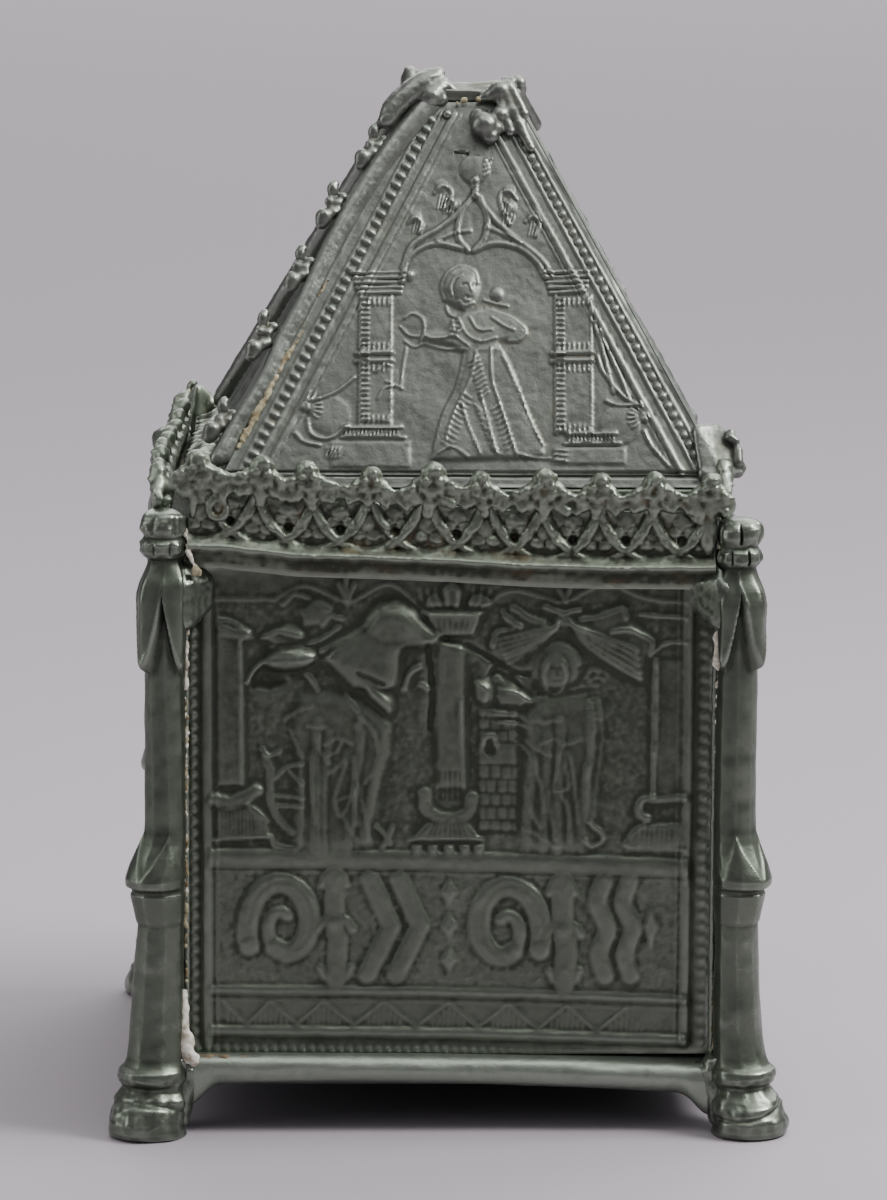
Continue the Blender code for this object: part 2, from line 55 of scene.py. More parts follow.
def add_sheet(name, across, up):
    """A new grid with this many cells, whose points are then moved to the shape of a piece."""
    bpy.ops.object.select_all(action="DESELECT")
    bpy.ops.mesh.primitive_grid_add(x_subdivisions=across, y_subdivisions=up, size=1.0)
    piece = bpy.context.object
    piece.name = piece.data.name = name
    return piece


def get_points(piece):
    """The places of a piece's points, in mm."""
    points = np.empty(len(piece.data.vertices) * 3)
    piece.data.vertices.foreach_get("co", points)
    return points.reshape(-1, 3) * 1000.0


def set_points(piece, points):
    """Moves a piece's points to places in mm."""
    piece.data.vertices.foreach_set("co", (np.asarray(points) / 1000.0).ravel())
    piece.data.update()


def only(piece):
    """Selects one piece by itself and makes it the active one."""
    bpy.ops.object.select_all(action="DESELECT")
    piece.select_set(True)
    bpy.context.view_layer.objects.active = piece


def close_tube(piece):
    """Sews the sheet's two long edges together and closes its ends."""
    only(piece)
    bpy.ops.object.mode_set(mode="EDIT")
    bpy.ops.mesh.select_all(action="SELECT")
    bpy.ops.mesh.remove_doubles(threshold=1e-7)
    bpy.ops.mesh.fill_holes(sides=0)
    bpy.ops.mesh.select_all(action="SELECT")
    bpy.ops.mesh.normals_make_consistent(inside=False)
    bpy.ops.object.mode_set(mode="OBJECT")


def lumps(points, size, seed):
    """The smooth unevenness of a casting, from about -1 to 1, at points in mm, with lumps of one size."""
    lattice = np.random.default_rng(seed).uniform(-1.0, 1.0, (24, 24, 24))
    scaled = np.asarray(points) / size + 7.3
    cell = np.floor(scaled).astype(int)
    part = scaled - cell
    part = part * part * (3.0 - 2.0 * part)
    total = np.zeros(len(scaled))
    for corner in np.ndindex(2, 2, 2):
        weight = np.prod(np.where(np.array(corner) == 1, part, 1.0 - part), axis=1)
        i, j, k = ((cell + corner) % 24).T
        total += weight * lattice[i, j, k]
    return total


def step_up(value, low, high):
    """0 below low, 1 above high, and a smooth rise between."""
    share = np.clip((value - low) / (high - low), 0.0, 1.0)
    return share * share * (3.0 - 2.0 * share)


def turned(points, quarters):
    """Points of the front side, turned to another side."""
    cos, sin = ((1, 0), (0, 1), (-1, 0), (0, -1))[quarters]
    x, y, z = np.asarray(points).T
    return np.stack([x * cos - y * sin, x * sin + y * cos, z], axis=1)


def mark_hollows_and_shade(piece, dirt_and_shade):
    """Stores whether each point lies in a recess (1), on the flat (0.5) or on an edge (0), for grime and wear, plus any
    grime and painted shade that the last argument gives.
    """
    mesh = piece.data
    count = len(mesh.vertices)
    ends = np.empty(len(mesh.edges) * 2, np.int32)
    mesh.edges.foreach_get("vertices", ends)
    a, b = ends.reshape(-1, 2).T
    points = get_points(piece)
    normals = np.empty(count * 3)
    mesh.vertices.foreach_get("normal", normals)
    degree = np.maximum(np.bincount(a, minlength=count) + np.bincount(b, minlength=count), 1)
    smooth = points.copy()
    depths = []
    for step in range(30):
        columns = [np.bincount(a, smooth[b, k], count) + np.bincount(b, smooth[a, k], count) for k in range(3)]
        smooth = (smooth + np.stack(columns, axis=1) / degree[:, None]) / 2.0
        if step in (5, 29):
            depths.append(((smooth - points) * normals.reshape(-1, 3)).sum(axis=1))
    # The last argument adds grime and painted shade on top of the recesses.
    hollow_and_shade = np.clip(0.5 + depths[0] * 2.6 + depths[1] * 1.2 + (dirt_and_shade(points) if dirt_and_shade else 0.0), 0.0, 1.0)
    mesh.attributes.new("hollow_and_shade", "FLOAT", "POINT").data.foreach_set("value", hollow_and_shade.astype(np.float32))


def finish_piece(piece, material, slot, *nodes, dirt_and_shade=None):
    """Smooths a piece, marks its recesses with any grime and painted shade, gives it its pewter, and puts it in the
    place of its CAD nodes.
    """
    only(piece)
    bpy.ops.object.shade_smooth_by_angle(angle=math.radians(50.0))
    mark_hollows_and_shade(piece, dirt_and_shade)
    piece.data.materials.clear()
    piece.data.materials.append(material)
    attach(piece, "root")
    if nodes:
        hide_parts(*nodes)


def pewter(name, deep, metal, worn, rough, stain=0.0, stain_colour=(0.30, 0.22, 0.12), shine=0.85, grain=0.5):
    """Cast pewter: dark in its hollows and under painted shade, mottled on the flat, brighter along worn edges and with
    dirty patches.
    """
    material = bpy.data.materials.new(name)
    material.use_nodes = True
    tree = material.node_tree
    shader = tree.nodes["Principled BSDF"]
    shader.inputs["Metallic"].default_value = shine

    def feed(socket, value):
        if hasattr(value, "is_output"):
            tree.links.new(value, socket)
        else:
            socket.default_value = (*value, 1.0) if isinstance(value, tuple) else value

    def node(kind, **inputs):
        made = tree.nodes.new(kind)
        for key, value in inputs.items():
            feed(made.inputs[key.replace("_", " ")], value)
        return made

    def noise(scale, detail, roughness):
        made = node("ShaderNodeTexNoise", Vector=place, Scale=scale, Detail=detail, Roughness=roughness)
        return made.outputs["Fac"]

    def blend(share, low, high):
        made = node("ShaderNodeMix")
        made.data_type = "RGBA"
        for socket, value in ((made.inputs[0], share), (made.inputs[6], low), (made.inputs[7], high)):
            feed(socket, value)
        return made.outputs[2]

    def spread(value, low, high, start, end):
        made = node("ShaderNodeMapRange", Value=value)
        made.inputs[1].default_value, made.inputs[2].default_value = low, high
        made.inputs[3].default_value, made.inputs[4].default_value = start, end
        return made.outputs[0]

    def sums(operation, one, two):
        made = node("ShaderNodeMath")
        made.operation = operation
        for socket, value in zip(made.inputs, (one, two)):
            feed(socket, value)
        return made.outputs[0]

    place = node("ShaderNodeTexCoord").outputs["Object"]
    # This attribute carries recesses and edges, grime, and painted shade.
    hollow_and_shade = node("ShaderNodeAttribute")
    hollow_and_shade.attribute_name = "hollow_and_shade"
    hollow_and_shade = hollow_and_shade.outputs["Fac"]
    # Blotches of about 13 mm, mottling of 2.4 mm and specks of 0.4 mm
    cloud, mottle, speck = noise(75.0, 5.0, 0.6), noise(420.0, 6.0, 0.65), noise(2300.0, 4.0, 0.6)
    fine_tone = sums("ADD", spread(mottle, 0.3, 0.7, 0.0, 0.35), spread(speck, 0.3, 0.7, 0.0, 0.25))
    tone = sums("ADD", spread(cloud, 0.3, 0.7, 0.0, 0.4), fine_tone)
    base = blend(tone, tuple(0.74 * c for c in metal), tuple(1.26 * c for c in metal))
    base = blend(spread(sums("ADD", hollow_and_shade, spread(mottle, 0.3, 0.7, -0.12, 0.12)), 0.58, 0.95, 0.0, 0.85), base,
        deep)
    base = blend(spread(sums("ADD", hollow_and_shade, spread(mottle, 0.3, 0.7, -0.1, 0.1)), 0.42, 0.12, 0.0, 0.7), base, worn)
    base = blend(spread(speck, 0.62, 0.75, 0.0, 0.4), base, tuple(0.6 * c for c in metal))
    if stain:
        patch = noise(130.0, 7.0, 0.7)
        dirty = sums("MULTIPLY", spread(patch, 0.52, 0.66, 0.0, stain), spread(hollow_and_shade, 0.50, 0.70, 0.0, 1.0))
        base = blend(dirty, base, stain_colour)
    tree.links.new(base, shader.inputs["Base Color"])
    dull = sums("ADD", spread(mottle, 0.3, 0.7, rough - 0.07, rough + 0.09), spread(hollow_and_shade, 0.40, 0.80, -0.03, 0.18))
    tree.links.new(dull, shader.inputs["Roughness"])
    bump = node("ShaderNodeBump", Height=sums("ADD", speck, sums("MULTIPLY", mottle, 1.5)), Distance=0.0001)
    bump.inputs["Strength"].default_value = grain
    tree.links.new(bump.outputs["Normal"], shader.inputs["Normal"])
    return material


# Height, reach outwards and reach inwards of a post along its length
POST_PROFILE = (
    (0.0, 8.5, 3.3), (0.35, 9.2, 3.8), (1.2, 9.5, 4.0), (2.6, 9.4, 4.0), (3.6, 9.0, 3.8), (4.4, 8.7, 3.6),
    (5.2, 8.5, 3.6), (6.0, 8.0, 3.4), (6.9, 7.2, 3.2), (7.7, 6.6, 3.1), (8.3, 6.7, 3.1),
    (8.9, 7.2, 3.3), (9.8, 7.5, 3.3), (10.8, 7.2, 3.3), (11.5, 6.3, 3.2), (12.6, 5.75, 3.1), (16.0, 5.2, 3.1),
    (24.0, 4.65, 3.05), (34.6, 4.2, 3.0), (35.4, 4.55, 3.1), (36.6, 4.8, 3.2), (38.8, 5.3, 3.3), (39.8, 5.45, 3.3),
    (40.2, 5.2, 3.2), (40.6, 5.25, 3.2), (41.1, 5.65, 3.3), (42.4, 5.75, 3.3), (45.0, 5.0, 3.3), (48.2, 3.9, 3.2),
    (50.0, 3.6, 3.2), (80.0, 3.55, 3.2), (91.0, 3.6, 3.1), (94.0, 3.1, 2.8), (94.7, 3.1, 2.8), (95.2, 3.8, 3.1),
    (96.0, 4.3, 3.3), (97.4, 4.25, 3.3), (98.0, 3.7, 3.0), (98.3, 3.6, 3.0), (98.8, 3.9, 3.2), (99.8, 4.15, 3.3),
    (101.0, 4.1, 3.3), (101.9, 3.6, 3.0), (102.5, 2.7, 2.4), (102.85, 1.4, 1.3),
)
# Turn of the eight-sided section in degrees, and how much lower the post's head stands than it did when new
POST_TURNS = {"front_left": 14.0, "front_right": -3.0, "back_right": 5.0, "back_left": 0.0}
POST_SUNK = {"front_left": 0.0, "front_right": 1.5, "back_right": 0.6, "back_left": 0.0}
# Height of the notches between a hood's gablets, and how far the gablets' points hang below them
HOODS = {"front_left": (88.2, 11.4), "front_right": (90.6, 12.6), "back_right": (89.5, 12.0),
    "back_left": (89.5, 12.0)}
COLLAR, LEAF_TOP, NECK = 40.6, 49.4, 94.0
# A worn post's section as a share of its reach: 1 at the corners of the octagon, this where it is rubbed round
RUBBED_ROUND = 0.985
# The posts' inner corners lie this far from their axes, level with the ends of the panels and the rails
POST_REACH_IN = 3.34


def post_points(corner, across, up):
    """Points of one post, modelled at the front left corner."""
    turn = np.linspace(0.0, math.tau, across + 1)
    level = np.linspace(0.0, 1.0, up + 1)
    heights = np.array([row[0] for row in POST_PROFILE])
    crowded = np.interp(level, (0.0, 0.2, 0.3, 0.42, 0.52, 0.6, 0.86, 1.0),
        (0.0, 12.0, 34.5, 41.5, 50.0, 74.0, 92.0, POST_PROFILE[-1][0]))
    theta, z = np.meshgrid(turn, crowded)
    theta, z = theta.ravel(), z.ravel()
    facing = theta - np.interp(z, (52.0, 76.0), (math.radians(POST_TURNS[corner]), 0.0))
    to_peak = np.abs((facing / (math.pi / 2) + 0.5) % 1.0 - 0.5) * 2.0
    reach = [np.interp(z, heights, [row[k] for row in POST_PROFILE]) for k in (1, 2)]
    knee = step_up(z - 1.5 * (1 - to_peak), LEAF_TOP, 41.5) * step_up(z, COLLAR, 41.2)
    knee *= 1.0 - step_up(z, 41.2, 50.0) * 0.35
    leaf_line = LEAF_TOP - 6.6 * to_peak
    leaf = step_up(z, leaf_line + 1.0, leaf_line - 1.0) * step_up(z, 40.8, 41.6)
    hood_peak, hood_drop = HOODS[corner]
    peak_line = hood_peak - hood_drop * np.sin(to_peak * math.pi / 2)
    blur = 1.1 + 1.9 * np.cos(to_peak * math.pi / 2)
    hood = step_up(z, peak_line - blur, peak_line + blur) * step_up(z, 95.0, 91.5)
    rib = np.exp(-((z - peak_line - 0.5) / blur) ** 2)
    reach_out = reach[0] + 1.1 * hood * step_up(z, NECK, 88.0) + 0.3 * rib + 0.35 * knee + 0.3 * leaf
    reach_in = np.minimum(reach[1] + 0.25 * hood + 0.2 * rib, 3.35)
    half = (reach_out + reach_in) / 2.0
    centre = POST_AXIS + (reach_out - reach_in) / 2.0
    eighth_corner = facing % (math.pi / 4) - math.pi / 8
    octagon = math.cos(math.pi / 8) / np.cos(eighth_corner)
    roundness = 0.62 + 0.38 * step_up(z, 8.0, 0.0) + 0.38 * step_up(z, NECK, 95.5)
    roundness = np.clip(roundness + 0.3 * step_up(np.abs(z - 9.8), 2.6, 1.2), 0.0, 1.0)
    section = octagon * (1 - roundness) + roundness * RUBBED_ROUND
    square = (np.abs(np.cos(facing)) ** 5 + np.abs(np.sin(facing)) ** 5) ** -0.2
    section += (square - section) * hood * 0.75
    # The cap's two rows are split into blocks, deeply so at the front right, and the hoof has a slanting crease
    for low, high, phase, count in ((95.3, 97.9, 0.35, 8), (98.7, 102.4, 0.0, 6)):
        cut = np.abs(np.sin(count / 2.0 * (facing - phase)))
        depth = 0.5 if corner == "front_right" else 0.12
        block = step_up(z, low, low + 0.5) * step_up(z, high, high - 0.5)
        section += block * (0.07 * (cut - 0.6) - depth * 0.35 * np.exp(-(cut / 0.14) ** 2))
    slant = 1.5 * np.cos(facing + (0.6 if corner == "front_right" else 2.3))
    section -= 0.055 * np.exp(-((z - 4.7 - slant) / 0.4) ** 2) * step_up(z, 7.4, 6.0)
    section += 0.035 * np.exp(-((z - 5.9 - slant) / 0.9) ** 2) * step_up(z, 7.8, 6.4)
    x = half * section * np.cos(theta) - centre
    y = half * section * np.sin(theta) - centre
    points = np.stack([x, y, z], axis=1)
    seed = CORNERS.index(corner)
    swell = 0.16 * lumps(points, 5.0, 11 + seed) + 0.09 * lumps(points, 1.9, 21 + seed)
    swell += 0.4 * lumps(points, 2.6, 31 + seed) * (step_up(z, 92.0, 97.0) * 0.9 + step_up(z, 12.0, 8.0))
    on_foot = step_up(z, 13.0, 9.0) * step_up(z, 1.0, 3.0)
    swell += 0.22 * lumps(points, 1.1, 35 + seed) * (step_up(z, 92.0, 97.0) + 0.8 * on_foot)
    away = np.stack([np.cos(theta), np.sin(theta), 0 * z], axis=1)
    points = points + away * swell[:, None] * step_up(z, 0.0, 0.5)[:, None]
    points[:, 2] -= POST_SUNK[corner] * step_up(z, 60.0, 103.0) ** 0.6
    points[:, 2] += 0.25 * lumps(points * (1, 1, 0.2), 3.0, 41 + seed) * step_up(z, 97.0, 101.0)
    points[:, 2] = np.maximum(points[:, 2], 0.0)
    if corner == "front_left":
        aslant = np.interp(z, (0, 6, 14, 24, 34, 44, 52), (0.2, 0.6, 1.2, 1.1, 0.7, 0.5, 0.0))
        points[:, 0] -= aslant * (0.6 - 0.4 * np.cos(theta))
    points[:, :2] = np.minimum(points[:, :2], -(POST_AXIS - POST_REACH_IN))
    return points


post_pewter = pewter("post_pewter", deep=(0.042, 0.051, 0.038), metal=(0.122, 0.140, 0.110), worn=(0.24, 0.27, 0.224),
    rough=0.33, grain=0.35)


def shaft_shade(points):
    """Painted shade on the upright shafts: they are darker than the feet and the caps."""
    return 0.22 * step_up(points[:, 2], 34.0, 52.0) * step_up(points[:, 2], 99.0, NECK)


for quarter, corner in enumerate(CORNERS):
    across, up = (104, 340) if corner.startswith("front") else (44, 160)
    post = add_sheet(f"cast_post_{corner}", across, up)
    set_points(post, turned(post_points(corner, across, up), quarter))
    close_tube(post)
    # The shafts get painted shade.
    finish_piece(post, post_pewter, "pewter_post", f"post_{corner}", dirt_and_shade=shaft_shade)


# Base rails
# Four cast pewter bars, round in front with a flat shelf behind for the panel and the floor. They are soldered between
# the posts, with fillets that run down into the feet. Green-grey, with dirt along the top; the front one is bowed.

RAIL_OUT, RAIL_LEVEL, RAIL_RADIUS = 46.4, 9.5, 2.6
RAIL_SECTION = [(RAIL_OUT + RAIL_RADIUS * math.cos(a), RAIL_LEVEL + RAIL_RADIUS * math.sin(a))
    for a in np.radians(np.linspace(-90, 90, 22))]
RAIL_SECTION += [(44.0, 12.1), (40.0, 12.1), (40.0, 10.3), (43.2, 10.3), (43.2, 6.9), (44.8, 6.9)]
# Half of the clear width between two posts
BAY_HALF = 42.4


def bar_points(section, stations, mitre=0.3):
    """Points of a straight bar along X: one row of the sheet for each station, mitred at the corners inside."""
    section = np.array(section + section[:1])
    out, station = np.meshgrid(section[:, 0], stations)
    z = np.meshgrid(section[:, 1], stations)[0]
    end = np.minimum(BAY_HALF, out - mitre)
    u = np.clip(station, -end, end)
    return np.stack([u.ravel(), -out.ravel(), z.ravel()], axis=1)


rail_pewter = pewter(
    "rail_pewter", deep=(0.060, 0.070, 0.055), metal=(0.228, 0.263, 0.215), worn=(0.31, 0.345, 0.294), rough=0.40,
    stain=0.7, stain_colour=(0.33, 0.20, 0.10),
)
near_end = 39.0 + np.arange(7) * 0.5
rail_stations = np.sort(np.concatenate([np.linspace(-BAY_HALF, BAY_HALF, 101), near_end, -near_end]))
for quarter, side in enumerate(SIDES):
    rail = add_sheet(f"cast_rail_{side}", len(RAIL_SECTION), len(rail_stations) - 1)
    points = bar_points(RAIL_SECTION, rail_stations)
    u, out, z = points[:, 0], -points[:, 1], points[:, 2]
    to_end = step_up(np.abs(u), 36.5, BAY_HALF) ** 1.5
    outside = step_up(out, 43.3, 45.0)
    points[:, 2] -= 3.4 * to_end * step_up(z, 11.5, 7.0) * outside
    points[:, 2] += 0.35 * (1 - (u / BAY_HALF) ** 2) * step_up(z, 11.0, 7.2) * outside
    if side == "front":
        share = (u + BAY_HALF) / (2 * BAY_HALF)
        points[:, 2] += (0.95 - 0.10 * share - 1.85 * share ** 2.5) * outside
    wave = 0.22 * lumps(points * (0.5, 1, 1), 3.5, 50 + quarter) + 0.08 * lumps(points, 1.2, 54 + quarter)
    points[:, 1] -= wave * outside
    points[:, 2] += 0.6 * wave * outside * step_up(z, 12.0, 10.5)
    set_points(rail, turned(points, quarter))
    close_tube(rail)
    finish_piece(rail, rail_pewter, "pewter_post", f"base_rail_{side}")


# Side panels
# Four pewter relief plates, each cast flat in an engraved mould and soldered between the posts: beaded and rolled
# borders, three columns under arches, a frieze on punched ground and a band of hatched triangles. The front one has
# figures in its scene, which is torn and dented.

PANEL_FACE = 45.2
PANEL_BACK = 43.2
PANEL_FOOT = 12.4
PANEL_RISE = 80.6
# Half width of the field inside the borders, and places of the side rolls and bead lines, from the panel's middle
FIELD_HALF, PANEL_ROLL, PANEL_BEAD = 37.8, 38.35, 41.1
FOOT_PITCH, FOOT_BEAD = 1.55, 0.7


def curve(points, steps=5):
    """A smooth path through a few points."""
    points = [np.array(point, float) for point in points]
    if len(points) < 3:
        return points
    ends = [2 * points[0] - points[1]] + points + [2 * points[-1] - points[-2]]
    path = []
    for a, b, c, d in zip(ends, ends[1:], ends[2:], ends[3:]):
        for i in range(steps):
            t = i / steps
            path.append(0.5 * (2 * b + (c - a) * t + (2 * a - 5 * b + 4 * c - d) * t * t
                + (3 * b - a - 3 * c + d) * t ** 3))
    return path + [points[-1]]


def new_plate(across, up, width, height):
    """The points of a flat plate, row by row from its foot, with the relief still to be raised on them."""
    u, z = np.meshgrid(np.linspace(-width / 2, width / 2, across + 1), np.linspace(0.0, height, up + 1))
    return {"u": u.ravel(), "z": z.ravel(), "rise": np.zeros(u.size), "drop": np.zeros(u.size), "across": across}


def gap_to(plate, path, reach):
    """Distance of each point of a plate to a path, in mm, up to the reach."""
    best = np.full(len(plate["u"]), float(reach))
    for (u0, z0), (u1, z1) in zip(path, path[1:]):
        near = (plate["u"] > min(u0, u1) - reach) & (plate["u"] < max(u0, u1) + reach)
        near &= (plate["z"] > min(z0, z1) - reach) & (plate["z"] < max(z0, z1) + reach)
        near = np.flatnonzero(near)
        along, up = plate["u"][near] - u0, plate["z"][near] - z0
        du, dz = u1 - u0, z1 - z0
        share = np.clip((along * du + up * dz) / max(du * du + dz * dz, 1e-9), 0.0, 1.0)
        best[near] = np.minimum(best[near], np.hypot(along - share * du, up - share * dz))
    return best


def draw(plate, paths, width, rise):
    """Raised lines, round in section, or cut ones where the rise is below zero. The width is the half width."""
    layer = np.zeros(len(plate["u"]))
    for path in paths:
        layer = np.maximum(layer, np.sqrt(np.clip(1.0 - (gap_to(plate, path, width) / width) ** 2, 0.0, 1.0)))
    plate["rise"] += rise * layer


def pad(plate, outline, rise, soft=0.3, keep=0.0, crown=0.0):
    """A raised flat shape with soft edges. It takes the place of the ground, apart from the share that is kept."""
    outline = list(outline) + [outline[0]]
    u, z = plate["u"], plate["z"]
    inside = np.zeros(len(u), bool)
    for (u0, z0), (u1, z1) in zip(outline, outline[1:]):
        if z0 != z1:
            inside ^= ((z0 > z) != (z1 > z)) & (u < (u1 - u0) * (z - z0) / (z1 - z0) + u0)
    reach = max(soft, 2.5 if crown else 0.0)
    gap = gap_to(plate, outline, reach)
    share = step_up(np.where(inside, gap, -gap), -soft / 2, soft)
    height = rise + crown * np.where(inside, 1.0 - (1.0 - gap / reach) ** 2, 0.0)
    plate["rise"] = plate["rise"] * (1.0 - share * (1.0 - keep)) + height * share
    return share


def dome(plate, centre, radii, rise, turn=0.0, power=0.5):
    """A raised oval knob, or a dent where the rise is below zero; the turn is in degrees."""
    cos, sin = math.cos(math.radians(turn)), math.sin(math.radians(turn))
    u, z = plate["u"] - centre[0], plate["z"] - centre[1]
    r = ((u * cos + z * sin) / radii[0]) ** 2 + ((z * cos - u * sin) / radii[1]) ** 2
    plate["rise"] += rise * np.clip(1.0 - r, 0.0, 1.0) ** power


def beads(plate, start, end, pitch, radius, rise, squash=1.0):
    """A row of beads from one point to another; squash below 1 makes them short bars across the row."""
    start, end = np.array(start), np.array(end)
    length = np.hypot(*(end - start))
    count = max(int(round(length / pitch)), 1)
    along, across = (end - start) / length, np.array((-(end - start)[1], (end - start)[0])) / length
    u, z = plate["u"] - start[0], plate["z"] - start[1]
    run = u * along[0] + z * along[1]
    side = u * across[0] + z * across[1]
    place = (run / length * count) % 1.0 - 0.5
    r = (place * length / count / (radius * squash)) ** 2 + (side / radius) ** 2
    plate["rise"] += rise * np.sqrt(np.clip(1.0 - r, 0.0, 1.0)) * ((run > 0) & (run < length))


def wear(plate, times):
    """Rubs the relief down: every point moves towards the mean of its neighbours."""
    rise = plate["rise"].reshape(-1, plate["across"] + 1)
    for _ in range(times):
        rise = np.pad(rise, 1, mode="edge")
        rise = (rise[1:-1, 1:-1] * 4 + rise[:-2, 1:-1] + rise[2:, 1:-1] + rise[1:-1, :-2] + rise[1:-1, 2:]) / 8.0
    plate["rise"] = rise.ravel()


def stipple(plate, share, size, depth, seed):
    """Punched ground: small pits and grains where share is 1."""
    spots = np.stack([plate["u"] * 0.8 + plate["z"] * 0.6, plate["z"] * 0.8 - plate["u"] * 0.6, 0.3 * plate["u"]],
        axis=1)
    grains = np.abs(lumps(spots, size, seed)) * 1.6 - 0.5 + 0.5 * lumps(spots, size * 2.3, seed + 1)
    plate["rise"] += share * depth * grains


def ribbon(plate, path, half, rise, soft=0.45):
    """A broad flat stroke with soft edges and a slight crown, smooth on its punched ground."""
    gap = gap_to(plate, path, half + soft)
    share = step_up(gap, half + soft * 0.6, half - soft * 0.6)
    crown = 0.22 * np.clip(1.0 - (gap / half) ** 2, 0.0, 1.0)
    plate["rise"] = plate["rise"] * (1.0 - 0.85 * share) + (rise + crown) * share


def panel_borders(plate, right_beads=0.5, left_roll=PANEL_ROLL, left_bead=PANEL_BEAD):
    """What every panel has: rolls and bead lines round it and punched grounds."""
    u, height = plate["u"], plate["z"] + plate["drop"]
    field = step_up(FIELD_HALF - np.abs(u), -0.2, 0.2)
    stipple(plate, field * step_up(height, 12.0, 12.6) * step_up(height, 31.0, 30.4), 0.5, 0.15, 61)
    stipple(plate, field * step_up(height, 34.4, 34.8) * step_up(height, 77.0, 76.0), 0.6, 0.11, 63)
    for sign, roll, bead, rise in ((-1, left_roll, left_bead, 0.5), (1, PANEL_ROLL, PANEL_BEAD, right_beads)):
        side, inner_line = sign * roll, sign * roll - sign * 1.6
        draw(plate, [[(side, 2.0), (side, 77.6)]], 0.95, 0.6)
        draw(plate, [[(inner_line, 2.5), (inner_line, 77.0)]], 0.30, 0.18)
        beads(plate, (sign * bead, 1.0), (sign * bead, 71.0), 1.95, 0.95, rise, 0.88)
    for level, half, rise in ((32.8, 1.7, 0.62), (10.9, 0.9, 0.48), (4.05, 1.0, 0.62), (30.6, 0.3, 0.16),
            (9.2, 0.28, 0.14)):
        reach = np.clip(1.0 - ((height - level) / half) ** 2, 0.0, 1.0) * step_up(38.9 - np.abs(u), -0.4, 0.4)
        plate["rise"] += rise * np.sqrt(reach)
    place = (u / FOOT_PITCH) % 1.0 - 0.5
    reach = np.clip(1.0 - (place * FOOT_PITCH / FOOT_BEAD) ** 2 - ((height - 1.15) / FOOT_BEAD) ** 2, 0.0, 1.0)
    plate["rise"] += 0.5 * np.sqrt(reach * (plate["z"] > 0.25))


def hatched_triangles(plate, peaks, low, high):
    """A zigzag line with fine upright hatching inside each triangle."""
    row = slice(plate["across"] + 1)
    drop = lambda u: float(np.interp(u, plate["u"][row], plate["drop"][row]))
    path = []
    for left, right in zip(peaks, peaks[1:]):
        path += [(left, high - drop(left)), ((left + right) / 2, low - drop((left + right) / 2))]
    path.append((peaks[-1], high - drop(peaks[-1])))
    draw(plate, [path], 0.32, 0.24)
    strokes = []
    for peak in peaks:
        for share in np.linspace(-0.40, 0.40, 9):
            u = peak + 8.4 * share
            top = high - 0.7 - abs(share) * 2 * (high - low)
            if abs(u) < 36.5 and top - low > 0.7:
                strokes.append([(u, low + 0.2 - drop(u)), (u + 0.12, top - drop(u))])
    draw(plate, strokes, 0.24, 0.14)


def give_back(piece):
    """Makes a sheet a closed plate. The back's points come after all others and are still to be placed."""
    only(piece)
    bpy.ops.object.mode_set(mode="EDIT")
    bpy.ops.mesh.select_all(action="SELECT")
    bpy.ops.mesh.region_to_loop()
    bpy.ops.mesh.extrude_region_move(TRANSFORM_OT_translate={"value": (0.0, 0.002, 0.0)})
    bpy.ops.mesh.edge_face_add()
    bpy.ops.mesh.select_all(action="SELECT")
    bpy.ops.mesh.normals_make_consistent(inside=False)
    bpy.ops.object.mode_set(mode="OBJECT")


def roughen(plate, *waves):
    """The unevenness of the casting, from waves of this height in mm, size in mm and seed."""
    places = np.stack([plate["u"], plate["z"], 0 * plate["u"]], axis=1)
    plate["rise"] += sum(height * lumps(places, size, seed) for height, size, seed in waves)


def place_panel(piece, plate, quarter, lowest, highest, edge_width):
    """Writes a plate's relief into its sheet, flat along the edges, gives it its back and turns it to its side."""
    edge = np.minimum(BAY_HALF - np.abs(plate["u"]), np.minimum(plate["z"], PANEL_RISE - plate["z"]))
    plate["rise"] = np.clip(plate["rise"], lowest, highest) * step_up(edge, -0.01, edge_width)
    front = np.stack([plate["u"], -PANEL_FACE - plate["rise"], PANEL_FOOT + plate["z"]], axis=1)
    set_points(piece, front)
    give_back(piece)
    points = get_points(piece)
    points[len(front):, 1] = -PANEL_BACK
    set_points(piece, turned(points, quarter))


def spots(*places):
    """Places measured on the photograph, in its pixels, as mm across and up the front panel."""
    return [(0.162192 * x + 0.000784 * y - 73.692, -0.0002 * x - 0.165543 * y + 174.958) for x, y in places]


def engrave(plate, width, rise, *paths):
    """Smooth lines through places on the photograph, cut into the mould, so they stand up on the plate."""
    draw(plate, [curve(spots(*path)) for path in paths], width, rise)


def raised(plate, height, soft, *outlines):
    """Soft swollen shapes with smooth outlines through places on the photograph."""
    for outline in outlines:
        pad(plate, curve(spots(*outline), 4), height, soft, keep=0.35, crown=height * 0.5)


def sprig(plate, foot, top, width=1.5):
    """A stem with a leaf pair, a knot and a bud."""
    (x0, y0), (x1, y1) = foot, top
    middle = ((x0 + x1) / 2, (y0 + y1) / 2)
    for sign in (-1, 1):
        ribbon(plate, curve(spots(middle, (middle[0] + sign * 9, middle[1] - 7),
            (middle[0] + sign * 17, middle[1] + 3))), 0.8, 0.3)
        ribbon(plate, curve(spots((x1, y1 + 14), (x1 + sign * 8, y1 + 2), (x1 + sign * 12, y1 + 12))), 0.65, 0.3)
        ribbon(plate, curve(spots((x0, y0 - 12), (x0 + sign * 10, y0 - 2), (x0 + sign * 15, y0 - 12))), 0.7, 0.3)
    ribbon(plate, curve(spots(foot, (middle[0] + 3, middle[1] + 14), middle, top)), width, 0.36)
    dome(plate, spots(middle)[0], (1.5, 1.5), 0.15)


